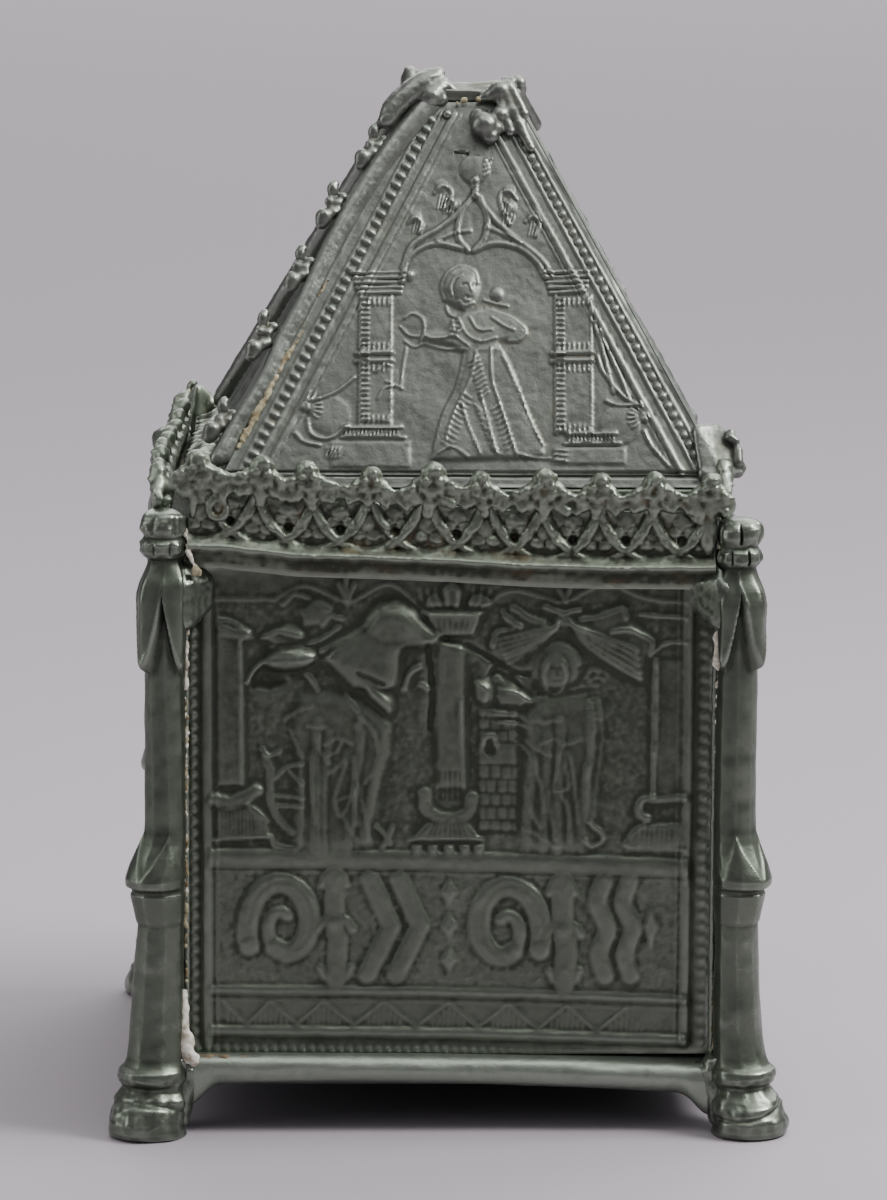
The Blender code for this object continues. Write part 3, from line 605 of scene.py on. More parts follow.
def swirl(plate, centre, size, sign):
    """A bold ribbon that winds in on itself, with a ball in its eye."""
    path = []
    for share in np.linspace(0.0, 1.0, 40):
        angle = math.radians(205 - 500 * share)
        reach = size * (1.0 - 0.80 * share)
        path.append((centre[0] + sign * 0.74 * reach * math.cos(angle), centre[1] - reach * math.sin(angle)))
    path = spots(*path)
    ribbon(plate, path[24:], 1.05, 0.38)
    ribbon(plate, path[:26], 1.75, 0.42)
    draw(plate, [[(u + 0.4, z + 0.4) for u, z in path[2:22]]], 0.28, -0.12)
    dome(plate, path[0], (1.7, 1.7), 0.2)


def frieze(plate):
    """Bold flat strokes between sprigs, in one row on the punched ground."""
    swirl(plate, (283, 926), 52, 1)
    sprig(plate, (335, 980), (334, 874), 1.6)
    for shift in (0, 29):
        ribbon(plate, spots((370 + shift, 880), (391 + shift, 927), (367 + shift, 976)), 1.55, 0.4)
    for level in (893, 927, 961):
        pad(plate, spots((449, level - 15), (458, level), (449, level + 15), (440, level)), 0.5, 0.5)
    swirl(plate, (505, 930), 52, -1)
    sprig(plate, (565, 984), (562, 882), 1.8)
    for shift in (0, 26):
        ribbon(plate, curve(spots((604 + shift, 882), (598 + shift, 905), (608 + shift, 930), (600 + shift, 955),
            (606 + shift, 978))), 1.5, 0.4)
    pad(plate, spots((652, 905), (660, 928), (652, 951), (644, 928)), 0.45, 0.5)


def columns(plate):
    """Three columns with their capitals, rings and plinths; the middle one carries a palmette."""
    pad(plate, spots((218, 637), (243, 641), (243, 786), (218, 786)), 0.45, 0.5, keep=0.3)
    engrave(plate, 0.45, 0.35, ((242, 642), (243, 784)))
    pad(plate, spots((216, 622), (228, 624), (251, 634), (256, 640), (244, 643), (218, 638)), 0.75, 0.6, keep=0.3)
    engrave(plate, 0.5, 0.5, ((219, 620), (233, 623), (251, 634)))
    engrave(plate, 1.3, 0.75, ((216, 800), (230, 803), (246, 797), (256, 791)))
    pad(plate, spots((216, 808), (250, 805), (268, 822), (271, 838), (216, 839)), 0.45, 0.5, keep=0.4)
    draw(plate, [spots((248, 803), (268, 821)), spots((214, 840), (271, 837), (274, 846), (296, 848))], 0.45, 0.42)
    engrave(plate, 0.22, 0.14, *(((x, 812), (x, 834)) for x in range(220, 264, 4)))
    pad(plate, spots((437, 640), (466, 640), (465, 790), (436, 790)), 0.5, 0.9, keep=0.2, crown=0.35)
    engrave(plate, 0.5, 0.3, ((462, 700), (464, 786)))
    engrave(plate, 0.3, -0.2, *(((x, 771), (x, 799)) for x in range(440, 464, 5)))
    pad(plate, spots((424, 613), (482, 613), (480, 622), (474, 637), (437, 637), (428, 622)), 0.85, 0.5)
    engrave(plate, 0.5, 0.4, ((423, 613), (482, 614)))
    engrave(plate, 0.25, -0.14, *(((x, 622), (450 + (x - 450) * 0.8, 635)) for x in range(432, 476, 6)))
    for centre, width, top in ((452, 9, 583), (435, 8, 594), (480, 11, 594)):
        pad(plate, curve(spots((centre - width, 609), (centre - width * 1.1, top + 8), (centre, top),
            (centre + width * 1.1, top + 8), (centre + width, 609))), 0.6, 0.5, keep=0.2)
    engrave(plate, 0.28, 0.22, *(((x, 610), (x + (x - 452) * 0.25, 600), (x + (x - 452) * 0.35, 590))
        for x in (428, 434, 440, 448, 456, 468, 474, 480)))
    engrave(plate, 1.2, 0.55, ((425, 794), (427, 810), (440, 818), (456, 819), (469, 812), (472, 798)))
    pad(plate, spots((427, 822), (468, 822), (481, 840), (411, 840)), 0.6, 0.5)
    engrave(plate, 0.22, -0.15, *(((x, 824), (450 + (x - 450) * 1.4, 838)) for x in range(434, 470, 4)))
    engrave(plate, 0.35, 0.4, ((410, 840), (482, 840)))
    for x in (412, 428, 444, 460, 474):
        pad(plate, spots((x, 845), (x + 10, 845), (x + 10, 855), (x, 855)), 0.6, 0.4)
    pad(plate, spots((655, 660), (684, 660), (684, 796), (655, 796)), 0.3, 0.5, keep=0.4)
    engrave(plate, 0.55, 0.5, ((655, 660), (653, 796)))
    engrave(plate, 0.4, 0.42, ((640, 616), (684, 619)), ((654, 653), (663, 645), (674, 643), (684, 643)))
    engrave(plate, 0.8, 0.6, ((653, 798), (643, 800), (639, 808), (641, 816), (648, 819)), ((652, 800), (684, 798)))
    pad(plate, spots((643, 824), (684, 822), (684, 848), (625, 848), (632, 834)), 0.45, 0.5, keep=0.4)
    engrave(plate, 0.45, 0.4, ((644, 824), (632, 833), (625, 846)), ((628, 849), (684, 850)))
    engrave(plate, 0.22, 0.13, *(((x, 828), (x - 1, 846)) for x in range(640, 684, 5)))


def folds(plate, seed, left, right, rise=0.17, spacing=2.1):
    """Cloth hanging between two edges, each a path from the shoulder to the hem, in uneven upright folds."""
    rng = np.random.default_rng(seed)
    left, right = (np.array(curve(spots(*edge), 6)) for edge in (left, right))
    rows = min(len(left), len(right))
    width = np.hypot(*(right[rows - 1] - left[rows - 1]))
    count = int(width / spacing)
    for k in range(count):
        share = (k + 0.5 + rng.uniform(-0.3, 0.3)) / count
        start = rng.integers(0, rows // 2)
        wave = rng.uniform(-0.35, 0.35) * np.sin(np.linspace(0, math.tau * rng.uniform(0.5, 1.2), rows))
        path = [tuple(left[i] + (right[i] - left[i]) * share + (wave[i], 0.0)) for i in range(start, rows)]
        draw(plate, [path], rng.uniform(0.6, 1.0), rise * rng.uniform(0.7, 1.1))
        draw(plate, [[(u + 0.9, z) for u, z in path[2:]]], 0.4, -0.4 * rise)


def arches(plate):
    """Flat arches from column to column with a sprig on each."""
    engrave(plate, 0.4, 0.22, ((216, 601), (276, 601)), ((276, 601), (306, 588), (344, 603), (352, 604), (390, 586),
        (424, 612)))
    engrave(plate, 0.4, 0.22, ((484, 608), (512, 592), (560, 604)), ((566, 604), (604, 586), (646, 600), (684, 604)))
    engrave(plate, 0.5, 0.35, ((340, 586), (347, 602)), ((347, 580), (347, 602)), ((355, 586), (348, 602)))
    engrave(plate, 0.45, 0.3, ((559, 590), (564, 602)), ((571, 584), (565, 602)))


across, up = 284, 266
panel = add_sheet("relief_panel_front", across, up)
plate = new_plate(across, up, 2 * BAY_HALF, PANEL_RISE)
share = (plate["u"] + 38.0) / 76.0
plate["drop"] = 0.5 * share + 1.35 * share ** 2
panel_borders(plate, right_beads=0.22, left_roll=39.45, left_bead=41.75)
hatched_triangles(plate, [-37.0, -29.2, -20.6, -10.7, -0.2, 9.6, 19.2, 28.9], 5.2, 9.2)
frieze(plate)
columns(plate)
arches(plate)

# The hanging between the columns, drawn back in swags from a knot
raised(plate, 0.38, 0.9, ((510, 611), (524, 618), (545, 624), (560, 622), (556, 632), (536, 648), (506, 663),
    (490, 652), (494, 640), (512, 628), (503, 618)))
raised(plate, 0.38, 0.9, ((568, 622), (596, 618), (620, 609), (628, 618), (642, 632), (653, 645), (646, 662),
    (640, 683), (610, 668), (586, 650), (574, 636)))
engrave(plate, 0.7, 0.5, ((513, 609), (528, 618), (543, 623)))
engrave(plate, 0.55, 0.5, ((546, 608), (556, 612), (566, 613), (578, 611)))
for step in range(6):
    engrave(plate, 0.34, 0.32, ((558, 624 + 1.5 * step), (538 - step, 630 + 4 * step),
        (497 + 2 * step, 640 + 5 * step)))
for step in range(5):
    engrave(plate, 0.36, 0.34, ((571 + 3 * step, 625 + step), (584 + 5 * step, 645 - 2 * step),
        (612 + 5 * step, 664 - 4 * step), (640 - step, 680 - 7 * step)))
engrave(plate, 0.55, 0.45, ((503, 612), (508, 622), (520, 627)), ((492, 646), (496, 634), (512, 629)),
    ((580, 620), (598, 617), (621, 609), (626, 618)), ((612, 632), (626, 630), (640, 634), (652, 642), (650, 656)))
dome(plate, spots((563, 622))[0], (1.6, 1.3), 0.6)
raised(plate, 0.45, 0.8, ((262, 640), (274, 630), (292, 624), (306, 634), (298, 646), (276, 648)),
    ((300, 612), (318, 600), (334, 610), (322, 626), (304, 628)))
engrave(plate, 0.5, 0.35, ((284, 606), (296, 596), (310, 600)), ((264, 638), (280, 632), (302, 638)),
    ((324, 626), (332, 618), (342, 620)), ((272, 648), (290, 650), (322, 640), (340, 628)))

# The left figure's robe, the wheel beside it and the tuft at its hem
raised(plate, 0.4, 1.5, ((300, 694), (330, 690), (362, 700), (388, 716), (390, 744), (384, 782), (376, 830),
    (366, 851), (296, 851), (292, 800), (296, 764), (290, 730)))
folds(plate, 501, ((308, 704), (300, 740), (302, 790), (300, 850)), ((340, 700), (344, 740), (334, 790), (338, 850)))
folds(plate, 502, ((346, 706), (350, 740), (346, 790), (342, 850)), ((380, 720), (384, 750), (374, 800), (366, 850)))
engrave(plate, 0.38, 0.18, ((290, 730), (296, 744), (302, 757)), ((286, 720), (300, 710), (312, 706)),
    ((308, 726), (326, 727)), ((318, 735), (320, 750), (329, 763)), ((328, 773), (336, 768), (345, 760)),
    ((346, 763), (338, 785), (334, 800)), ((312, 758), (312, 785), (315, 822)), ((354, 758), (355, 800), (354, 830)),
    ((338, 800), (350, 795)), ((360, 716), (373, 731), (378, 750), (374, 770), (364, 783)),
    ((342, 814), (348, 826), (358, 842)), ((362, 800), (366, 820), (370, 842)), ((300, 764), (302, 800), (300, 846)),
    ((334, 800), (340, 816), (350, 800), (354, 782)), ((352, 668), (346, 690), (358, 712)),
    ((325, 744), (338, 738), (352, 744)), ((324, 756), (336, 752), (342, 742)))
engrave(plate, 0.95, 0.2, ((388, 727), (384, 757), (374, 787), (368, 812), (364, 840)), ((357, 788), (357, 822)))
engrave(plate, 0.8, 0.34, ((266, 757), (270, 772), (270, 796), (277, 817), (291, 832)))
engrave(plate, 0.45, 0.35, ((276, 778), (286, 768), (302, 764)), ((276, 796), (302, 798)), ((278, 806), (302, 806)),
    ((290, 772), (302, 784)), ((262, 748), (268, 756), (280, 752)))
engrave(plate, 0.5, 0.35, ((376, 826), (384, 834), (390, 844)), ((392, 828), (388, 838), (382, 848)))

# The brick tower and the right figure beside it
pad(plate, spots((479, 708), (517, 708), (517, 832), (479, 832)), 0.32, 0.6, keep=0.3)
engrave(plate, 0.26, -0.17, *(((479, y), (517, y + 1)) for y in (718, 730, 742, 765, 779, 793, 806, 820, 832)))
joints = []
for row, y in enumerate((708, 719, 731, 766, 780, 794, 807, 820)):
    joints += [((x + row % 2 * 4, y), (x + row % 2 * 4, y + 12)) for x in (486, 497, 508)]
engrave(plate, 0.24, -0.14, *joints)
engrave(plate, 0.5, 0.4, ((483, 744), (487, 736), (494, 737), (496, 745)))
dome(plate, spots((490, 750))[0], (1.1, 1.3), -0.5)
raised(plate, 0.5, 0.6, ((474, 686), (482, 680), (492, 686), (494, 698), (486, 706), (476, 700)),
    ((494, 694), (512, 688), (528, 698), (522, 706), (500, 706)))
engrave(plate, 0.42, 0.36, ((498, 690), (516, 692), (530, 702)), ((496, 714), (516, 716), (532, 722)),
    ((500, 722), (516, 724), (530, 728)), ((476, 682), (486, 690), (484, 702)))
raised(plate, 0.4, 1.5, ((534, 700), (552, 694), (574, 694), (596, 700), (602, 722), (598, 752), (596, 800),
    (592, 850), (524, 850), (518, 800), (524, 750), (520, 720)))
raised(plate, 0.4, 0.9, ((531, 676), (532, 660), (542, 648), (556, 644), (570, 648), (579, 662), (578, 680),
    (560, 690), (540, 690)))
engrave(plate, 0.6, 0.22, ((529, 668), (533, 655), (548, 645), (562, 645), (575, 653), (579, 664)))
dome(plate, spots((554, 671))[0], (2.3, 3.0), 0.4)
engrave(plate, 0.35, 0.3, ((545, 690), (554, 694), (563, 690)), ((547, 662), (543, 676), (546, 688)),
    ((562, 662), (566, 676), (562, 688)))
engrave(plate, 0.22, -0.16, ((551, 668), (553, 667), (555, 668)), ((558, 668), (560, 667), (562, 668)),
    ((553, 680), (556, 681), (559, 680)), ((556, 669), (557, 675)))
folds(plate, 503, ((524, 722), (526, 760), (524, 800), (520, 850)), ((552, 722), (552, 760), (548, 800), (548, 850)))
folds(plate, 504, ((556, 722), (556, 760), (554, 800), (554, 850)), ((596, 724), (594, 760), (590, 800), (588, 850)))
engrave(plate, 0.38, 0.18, ((568, 690), (584, 687), (598, 686)), ((572, 699), (586, 695), (598, 693)),
    ((586, 678), (592, 670), (600, 672)), ((588, 682), (596, 678), (602, 680)), ((520, 705), (534, 700), (546, 697)),
    ((510, 731), (524, 739), (536, 748), (551, 755)), ((516, 742), (528, 752), (536, 766)),
    ((558, 752), (556, 772), (552, 788), (560, 790), (568, 786), (566, 768), (567, 752)),
    ((570, 756), (574, 782), (578, 822)), ((526, 786), (529, 808), (540, 827)), ((550, 792), (550, 812), (556, 840)),
    ((562, 796), (568, 810), (570, 842)), ((536, 770), (542, 792), (544, 812)),
    ((598, 702), (602, 730), (600, 757), (596, 790), (594, 817)), ((530, 716), (544, 722), (560, 718)),
    ((524, 828), (540, 836), (556, 848)), ((540, 744), (552, 738), (566, 744), (580, 738)))
for step in range(5):
    engrave(plate, 0.3, 0.2, ((588, 700 + 4 * step), (596, 698 + 5 * step), (601, 703 + 4 * step)))
engrave(plate, 0.8, 0.2, ((587, 766), (588, 818)))
engrave(plate, 0.5, 0.5, ((590, 822), (604, 838), (592, 847), (585, 840)))

# Damage: the swelling with its torn edge, the curled tongue over a hole, the flap and the crack
swelling = curve(spots((322, 660), (338, 642), (362, 630), (371, 618), (380, 607), (398, 604), (412, 612), (422, 624),
    (441, 639), (430, 650), (404, 652), (396, 690), (352, 690)))
pad(plate, swelling, 0.75, 1.0, keep=0.1, crown=0.7)
dome(plate, spots((396, 624))[0], (5.2, 3.2), 0.7, power=1.0)
engrave(plate, 0.6, 0.5, ((322, 652), (340, 641), (362, 629), (371, 617), (381, 607), (398, 604), (412, 612),
    (422, 625), (441, 639)))
engrave(plate, 0.5, -0.55, ((441, 640), (462, 645), (478, 652), (496, 663), (512, 672), (528, 676)),
    ((497, 664), (490, 677)), ((510, 672), (519, 688)), ((428, 646), (432, 690), (431, 730)))
pad(plate, spots((486, 678), (498, 668), (512, 676), (518, 686), (506, 684), (498, 676)), -0.6, 0.5)
pad(plate, curve(spots((252, 689), (254, 677), (264, 669), (280, 674), (287, 683), (272, 692))), -0.7, 1.0, keep=0.4)
dome(plate, spots((291, 660))[0], (4.5, 2.0), 2.0, turn=5, power=0.6)
engrave(plate, 0.4, 0.7, ((248, 683), (254, 672), (264, 662)))
engrave(plate, 0.5, 0.4, ((306, 674), (314, 682), (318, 690)))
pad(plate, curve(spots((358, 676), (372, 683), (388, 694), (395, 706), (391, 716), (380, 709), (368, 698))), 1.0, 0.8,
    crown=0.5)
engrave(plate, 0.4, -0.5, ((358, 673), (372, 679), (384, 684)))
engrave(plate, 0.6, 0.55, ((404, 690), (409, 675), (420, 667)), ((421, 685), (430, 690)))
roughen(plate, (0.25, 9.0, 71), (0.11, 3.0, 72), (0.05, 1.1, 73))
wear(plate, 2)
place_panel(panel, plate, 0, -1.6, 2.6, 0.5)
panel_pewter = pewter(
    "panel_pewter", deep=(0.040, 0.046, 0.035), metal=(0.126, 0.142, 0.113), worn=(0.192, 0.216, 0.178), rough=0.38,
    stain=0.12, stain_colour=(0.12, 0.11, 0.075), grain=0.5,
)


def soot_and_shade(points):
    """The upper part of a panel, with the scene, is darker than the frieze: partly grime, partly painted shade under
    the lid's overhang.
    """
    return 0.25 * step_up(points[:, 2], 46.0, 50.0)


# Grime and painted shade on the upper part of the panel.
finish_piece(panel, panel_pewter, "pewter_panel", "side_panel_front", dirt_and_shade=soot_and_shade)

# The hidden panels come from the same moulds for borders, columns and frieze, round a plain lattice
across, up = 108, 104
for quarter, side in list(enumerate(SIDES))[1:]:
    panel = add_sheet(f"relief_panel_{side}", across, up)
    plate = new_plate(across, up, 2 * BAY_HALF, PANEL_RISE)
    panel_borders(plate)
    hatched_triangles(plate, [-37.0, -28.0, -18.5, -9.0, 0.5, 10.0, 19.5, 29.0], 5.2, 9.2)
    frieze(plate)
    lattice = [[(u, 36.0), (u + 12.0, 70.0)] for u in np.arange(-42.0, 36.0, 6.0)]
    lattice += [[(u, 36.0), (u - 12.0, 70.0)] for u in np.arange(-36.0, 42.0, 6.0)]
    draw(plate, [line for line in lattice if max(abs(line[0][0]), abs(line[1][0])) < 36.0], 0.35, 0.22)
    columns(plate)
    arches(plate)
    roughen(plate, (0.25, 9.0, 74 + quarter), (0.07, 2.2, 77 + quarter))
    place_panel(panel, plate, quarter, -1.2, 2.0, 0.6)
    finish_piece(panel, panel_pewter, "pewter_panel", f"side_panel_{side}", dirt_and_shade=soot_and_shade)


# Floor plate
# The flat cast pewter bottom of the box, which rests on the rails' shelves inside the panels. It is plain, dull and
# slightly uneven.

FLOOR_CELLS, FLOOR_WIDTH, FLOOR_TOP, FLOOR_UNDER = 30, 85.6, 13.9, 12.5
plate = new_plate(FLOOR_CELLS, FLOOR_CELLS, FLOOR_WIDTH, FLOOR_WIDTH)
base = add_sheet("cast_floor", FLOOR_CELLS, FLOOR_CELLS)
points = np.stack([plate["u"], plate["z"] - FLOOR_WIDTH / 2, 0 * plate["u"]], axis=1)
points[:, 2] = FLOOR_TOP + 0.22 * lumps(points, 7.0, 80) * (np.abs(points[:, :2]).max(axis=1) < 42.0)
set_points(base, points)
top_count = len(points)
give_back(base)
points = get_points(base)
points[top_count:, 1] -= 2.0
points[top_count:, 2] = FLOOR_UNDER
set_points(base, points)
floor_pewter = pewter("floor_pewter", deep=(0.05, 0.055, 0.05), metal=(0.11, 0.12, 0.11), worn=(0.16, 0.17, 0.16),
    rough=0.55)
finish_piece(base, floor_pewter, "pewter_panel", "floor_plate")


# Crest strips
# The lid's rim: four pewter castings, each a moulded ledge that sits on the panels and an upright band of interlaced
# arches under a row of leafy knobs. Rough and dirty; broken off over the rear of the right side and at one end of the
# back.

KNOBS = (-40.3, -30.9, -22.5, -13.8, -3.8, 5.4, 14.9, 23.4, 32.5, 40.8)
KNOB_PITCH, KNOB_SEAT = 9.18, 104.0
ARCH_FOOT, ARCH_PEAK, BAND_TOP = 95.7, 103.2, 102.9
# The two bunches of leaves in the arches: place beside the knob's middle, height and size
LEAVES_IN_ARCH = (
    (0.0, 100.2, 1.5), (-1.2, 98.4, 1.2), (1.2, 98.4, 1.2), (4.6, 101.5, 1.5), (3.4, 100.3, 1.0), (5.8, 100.3, 1.0),
)
# Where a strip's band is broken off, along the strip
CREST_LOST = {"right": (-8.5, 43.0), "back": (-43.0, -34.8)}
# A strip's section from its foot up the front face, over the trough or the flat behind the band, and back under
CREST_BELOW = [
    (43.2, 93.3), (45.3, 93.3), (45.4, 91.3), (45.7, 91.2), (45.95, 91.7), (46.3, 92.4), (46.9, 93.2), (47.5, 93.9),
    (48.1, 94.4), (48.45, 94.75), (48.6, 95.05), (48.5, 95.3), (48.25, 95.5), (47.85, 95.8), (47.4, 96.1),
]
CREST_FACE = [(46.9, z) for z in np.linspace(96.5, BAND_TOP, 33)]
CREST_TROUGH = [(46.7, 103.1), (46.3, 103.2), (45.7, 103.1), (45.3, 102.8), (45.25, 100.6), (43.8, 100.2),
    (42.5, 100.4), (42.3, 105.0)]
CREST_FLAT = [(46.7, 103.1), (46.3, 103.2), (45.7, 103.3), (45.5, 104.3), (45.25, 105.2), (44.0, 105.2),
    (42.5, 105.2), (42.3, 105.2)]
CREST_LEDGE = [(42.0, 105.2), (38.5, 105.2), (35.2, 105.2), (35.2, 103.8), (38.5, 103.8), (41.0, 103.8), (41.3, 99.0),
    (43.7, 98.7), (44.0, 96.0), (43.2, 96.0)]


def crest_lean(side, u, z):
    """How far a strip has been pushed up or down, and inwards, by a knock: in mm at each place along it."""
    up, inwards = 0.0 * u, 0.0 * u
    if side == "front":
        up = np.interp(u, (-42.4, -37, -25, -12, 0, 11, 24, 42.4), (1.9, 1.8, 0.4, 0.0, -0.5, -1.2, -1.65, -1.7))
        up = up + (0.9 + 0.5 * step_up(u, 8.0, 26.0)) * step_up(z, 98.0, 106.0)
    if side == "left":
        inwards = 3.2 * step_up(u, 30.0, -42.0) * np.clip((z - 96.0) / 14.0, 0.0, 1.2) ** 1.3
    if side == "right":
        inwards = 1.1 * step_up(z, 95.4, 97.0) + 2.0 * step_up(z, 98.0, 105.0)
    return up, inwards


def cast_balls(name, balls, voxel, seed, roughness=0.12, soften=2):
    """Modelled lumps of wax: many balls of (x, y, z, size x, size y, size z) melted into one skin."""
    bpy.ops.object.select_all(action="DESELECT")
    bpy.ops.mesh.primitive_ico_sphere_add(subdivisions=3 if len(balls) < 60 else 2, radius=1.0)
    piece = bpy.context.object
    piece.name = piece.data.name = name
    mesh = piece.data
    ball = np.array([vertex.co[:] for vertex in mesh.vertices])
    faces = np.array([face.vertices[:] for face in mesh.polygons])
    balls = np.array(balls)
    points = ball[None] * balls[:, None, 3:6] + balls[:, None, :3]
    triangles = faces[None] + (np.arange(len(balls)) * len(ball))[:, None, None]
    mesh.clear_geometry()
    mesh.from_pydata((points.reshape(-1, 3) / 1000.0).tolist(), [], triangles.reshape(-1, 3).tolist())
    only(piece)
    remesh = piece.modifiers.new("melt", "REMESH")
    remesh.mode = "VOXEL"
    remesh.voxel_size = voxel / 1000.0
    bpy.ops.object.modifier_apply(modifier=remesh.name)
    rub = piece.modifiers.new("rub", "SMOOTH")
    rub.factor, rub.iterations = 0.5, soften
    bpy.ops.object.modifier_apply(modifier=rub.name)
    points = get_points(piece)
    normals = np.empty(len(points) * 3)
    piece.data.vertices.foreach_get("normal", normals)
    swell = roughness * (lumps(points, 0.9, seed) + 0.8 * lumps(points, 0.45, seed + 1))
    set_points(piece, points + normals.reshape(-1, 3) * swell[:, None])
    return piece


def crocket(u, scale, rng):
    """One leafy knob: a ball on a hump with a bulky leaf hanging to each side; rows of (u, out, z, sizes)."""
    shapes = [
        (0, 1.0, 108.1, 1.75, 1.55, 1.65), (0, 0.9, 106.5, 1.7, 1.3, 1.2), (0, 1.1, 105.2, 1.6, 1.3, 1.4),
        (0, 0.8, 103.6, 1.3, 1.1, 1.5), (0.5, 2.1, 108.5, 0.7, 0.6, 0.8), (0, 0.6, 102.3, 1.0, 0.9, 1.0),
    ]
    for sign in (-1, 1):
        droop = rng.uniform(-0.4, 0.4)
        shapes += [
            (sign * 1.9, 1.0, 106.3, 1.35, 1.15, 1.15), (sign * 3.2, 1.2, 105.2 + droop, 1.35, 1.1, 1.3),
            (sign * 4.3, 0.9, 104.3 + droop, 1.0, 0.95, 1.2), (sign * 2.3, 1.2, 104.1, 1.15, 0.95, 1.2),
            (sign * 3.4, 1.5, 103.3 + droop, 0.8, 0.7, 0.8), (sign * 1.2, 1.9, 105.6, 0.75, 0.6, 0.9),
            (sign * 2.9, 2.0, 106.0 + droop, 0.65, 0.55, 0.6), (sign * 1.3, 0.8, 107.9, 0.8, 0.8, 1.0),
            (sign * 1.0, 2.2, 107.0, 0.7, 0.6, 0.6), (sign * 4.4, 1.6, 105.4 + droop, 0.6, 0.6, 0.6),
        ]
    turn, aside = rng.uniform(-0.2, 0.2), rng.uniform(-0.4, 0.4)
    placed = []
    for du, out, z, *sizes in shapes:
        rise = (z - KNOB_SEAT) * scale
        across, out = u + aside + du * scale + turn * rise, 46.2 + out + rng.uniform(-0.15, 0.15)
        placed.append((across, out, KNOB_SEAT + rise, *(size * scale for size in sizes)))
    return placed


def crest_extras(side):
    """What one strip has and the others don't: the masses at its ends, a ring, the solder behind it, torn stumps."""
    balls = []
    if side == "front":
        # The ring and the heaped leaves at the left end, and the mass at the right end
        for a in np.linspace(0, math.tau, 15)[:14]:
            balls.append((-37.6 + 1.45 * math.cos(a), 47.4, 100.9 + 1.45 * math.sin(a), 0.6, 0.6, 0.6))
        balls += [
            (-37.6, 47.0, 100.9, 0.6, 0.9, 0.6), (-41.6, 46.6, 102.0, 0.9, 1.3, 2.9),
            (-40.3, 47.0, 104.4, 2.4, 1.5, 1.5), (-42.8, 47.3, 103.4, 1.4, 1.2, 1.2),
        ]
        balls += [(-38.4 + 0.75 * k, 47.5, 106.4 - 0.28 * k, 1.15, 1.0, 0.75) for k in range(6)]
        balls += [(-40.6, 46.8, 107.6, 1.7, 1.4, 1.6), (-41.9, 46.8, 105.6, 1.5, 1.3, 1.7),
            (41.5, 46.8, 104.6, 1.7, 1.5, 3.2), (41.3, 46.9, 100.0, 1.5, 1.1, 3.2),
            (39.6, 47.0, 103.2, 1.6, 1.2, 1.8), (42.3, 46.6, 107.4, 1.1, 1.1, 1.6)]
    if side == "left":
        # Solder that fills the strip's trough, and the lump at its rear end
        balls += [(u, 46.6, z, 1.4, 1.9, 1.5) for u in np.linspace(-41.5, 41.5, 44) for z in (103.4, 105.6)]
        for u in np.linspace(-41.0, 41.0, 52):
            balls.append((u, 40.4 + 0.5 * math.sin(1.7 * u), 105.7 + 0.5 * math.sin(2.9 * u), 1.3, 1.7, 1.1))
        for u in np.linspace(-41.0, 41.0, 48):
            balls.append((u, 42.3 + 0.4 * math.sin(2.3 * u), 105.0 + 0.3 * math.sin(1.3 * u), 1.2, 1.5, 0.9))
        balls += [(-41.0, 47.0, 100.6, 1.6, 2.2, 3.6), (-41.6, 46.6, 108.6, 0.9, 1.0, 1.8),
            (-41.8, 46.4, 110.9, 1.0, 1.0, 0.9)]
    if side == "back":
        balls += [(42.2, 45.8, 102.0 + 0.9 * k, 1.25 - 0.04 * k, 1.1, 1.2) for k in range(9)]
    if side == "right":
        balls += [(u, 46.3, 106.6 + 0.5 * math.sin(u), 0.8, 0.9, 1.9) for u in np.linspace(-39.0, -10.5, 20)]
    return balls


def crest_shade(knocked):
    """Painted shade behind the band and under its rim, and over the upper part of the strip that was knocked inwards.
    """
    def dirt_and_shade(points):
        inside = np.maximum(np.abs(points[:, 0]), np.abs(points[:, 1]))
        total = 0.4 * step_up(inside, 44.6, 43.8) + 0.24 * step_up(points[:, 2], 96.7, 95.9)
        return total + knocked * step_up(points[:, 2], 101.0, KNOB_SEAT)
    return dirt_and_shade


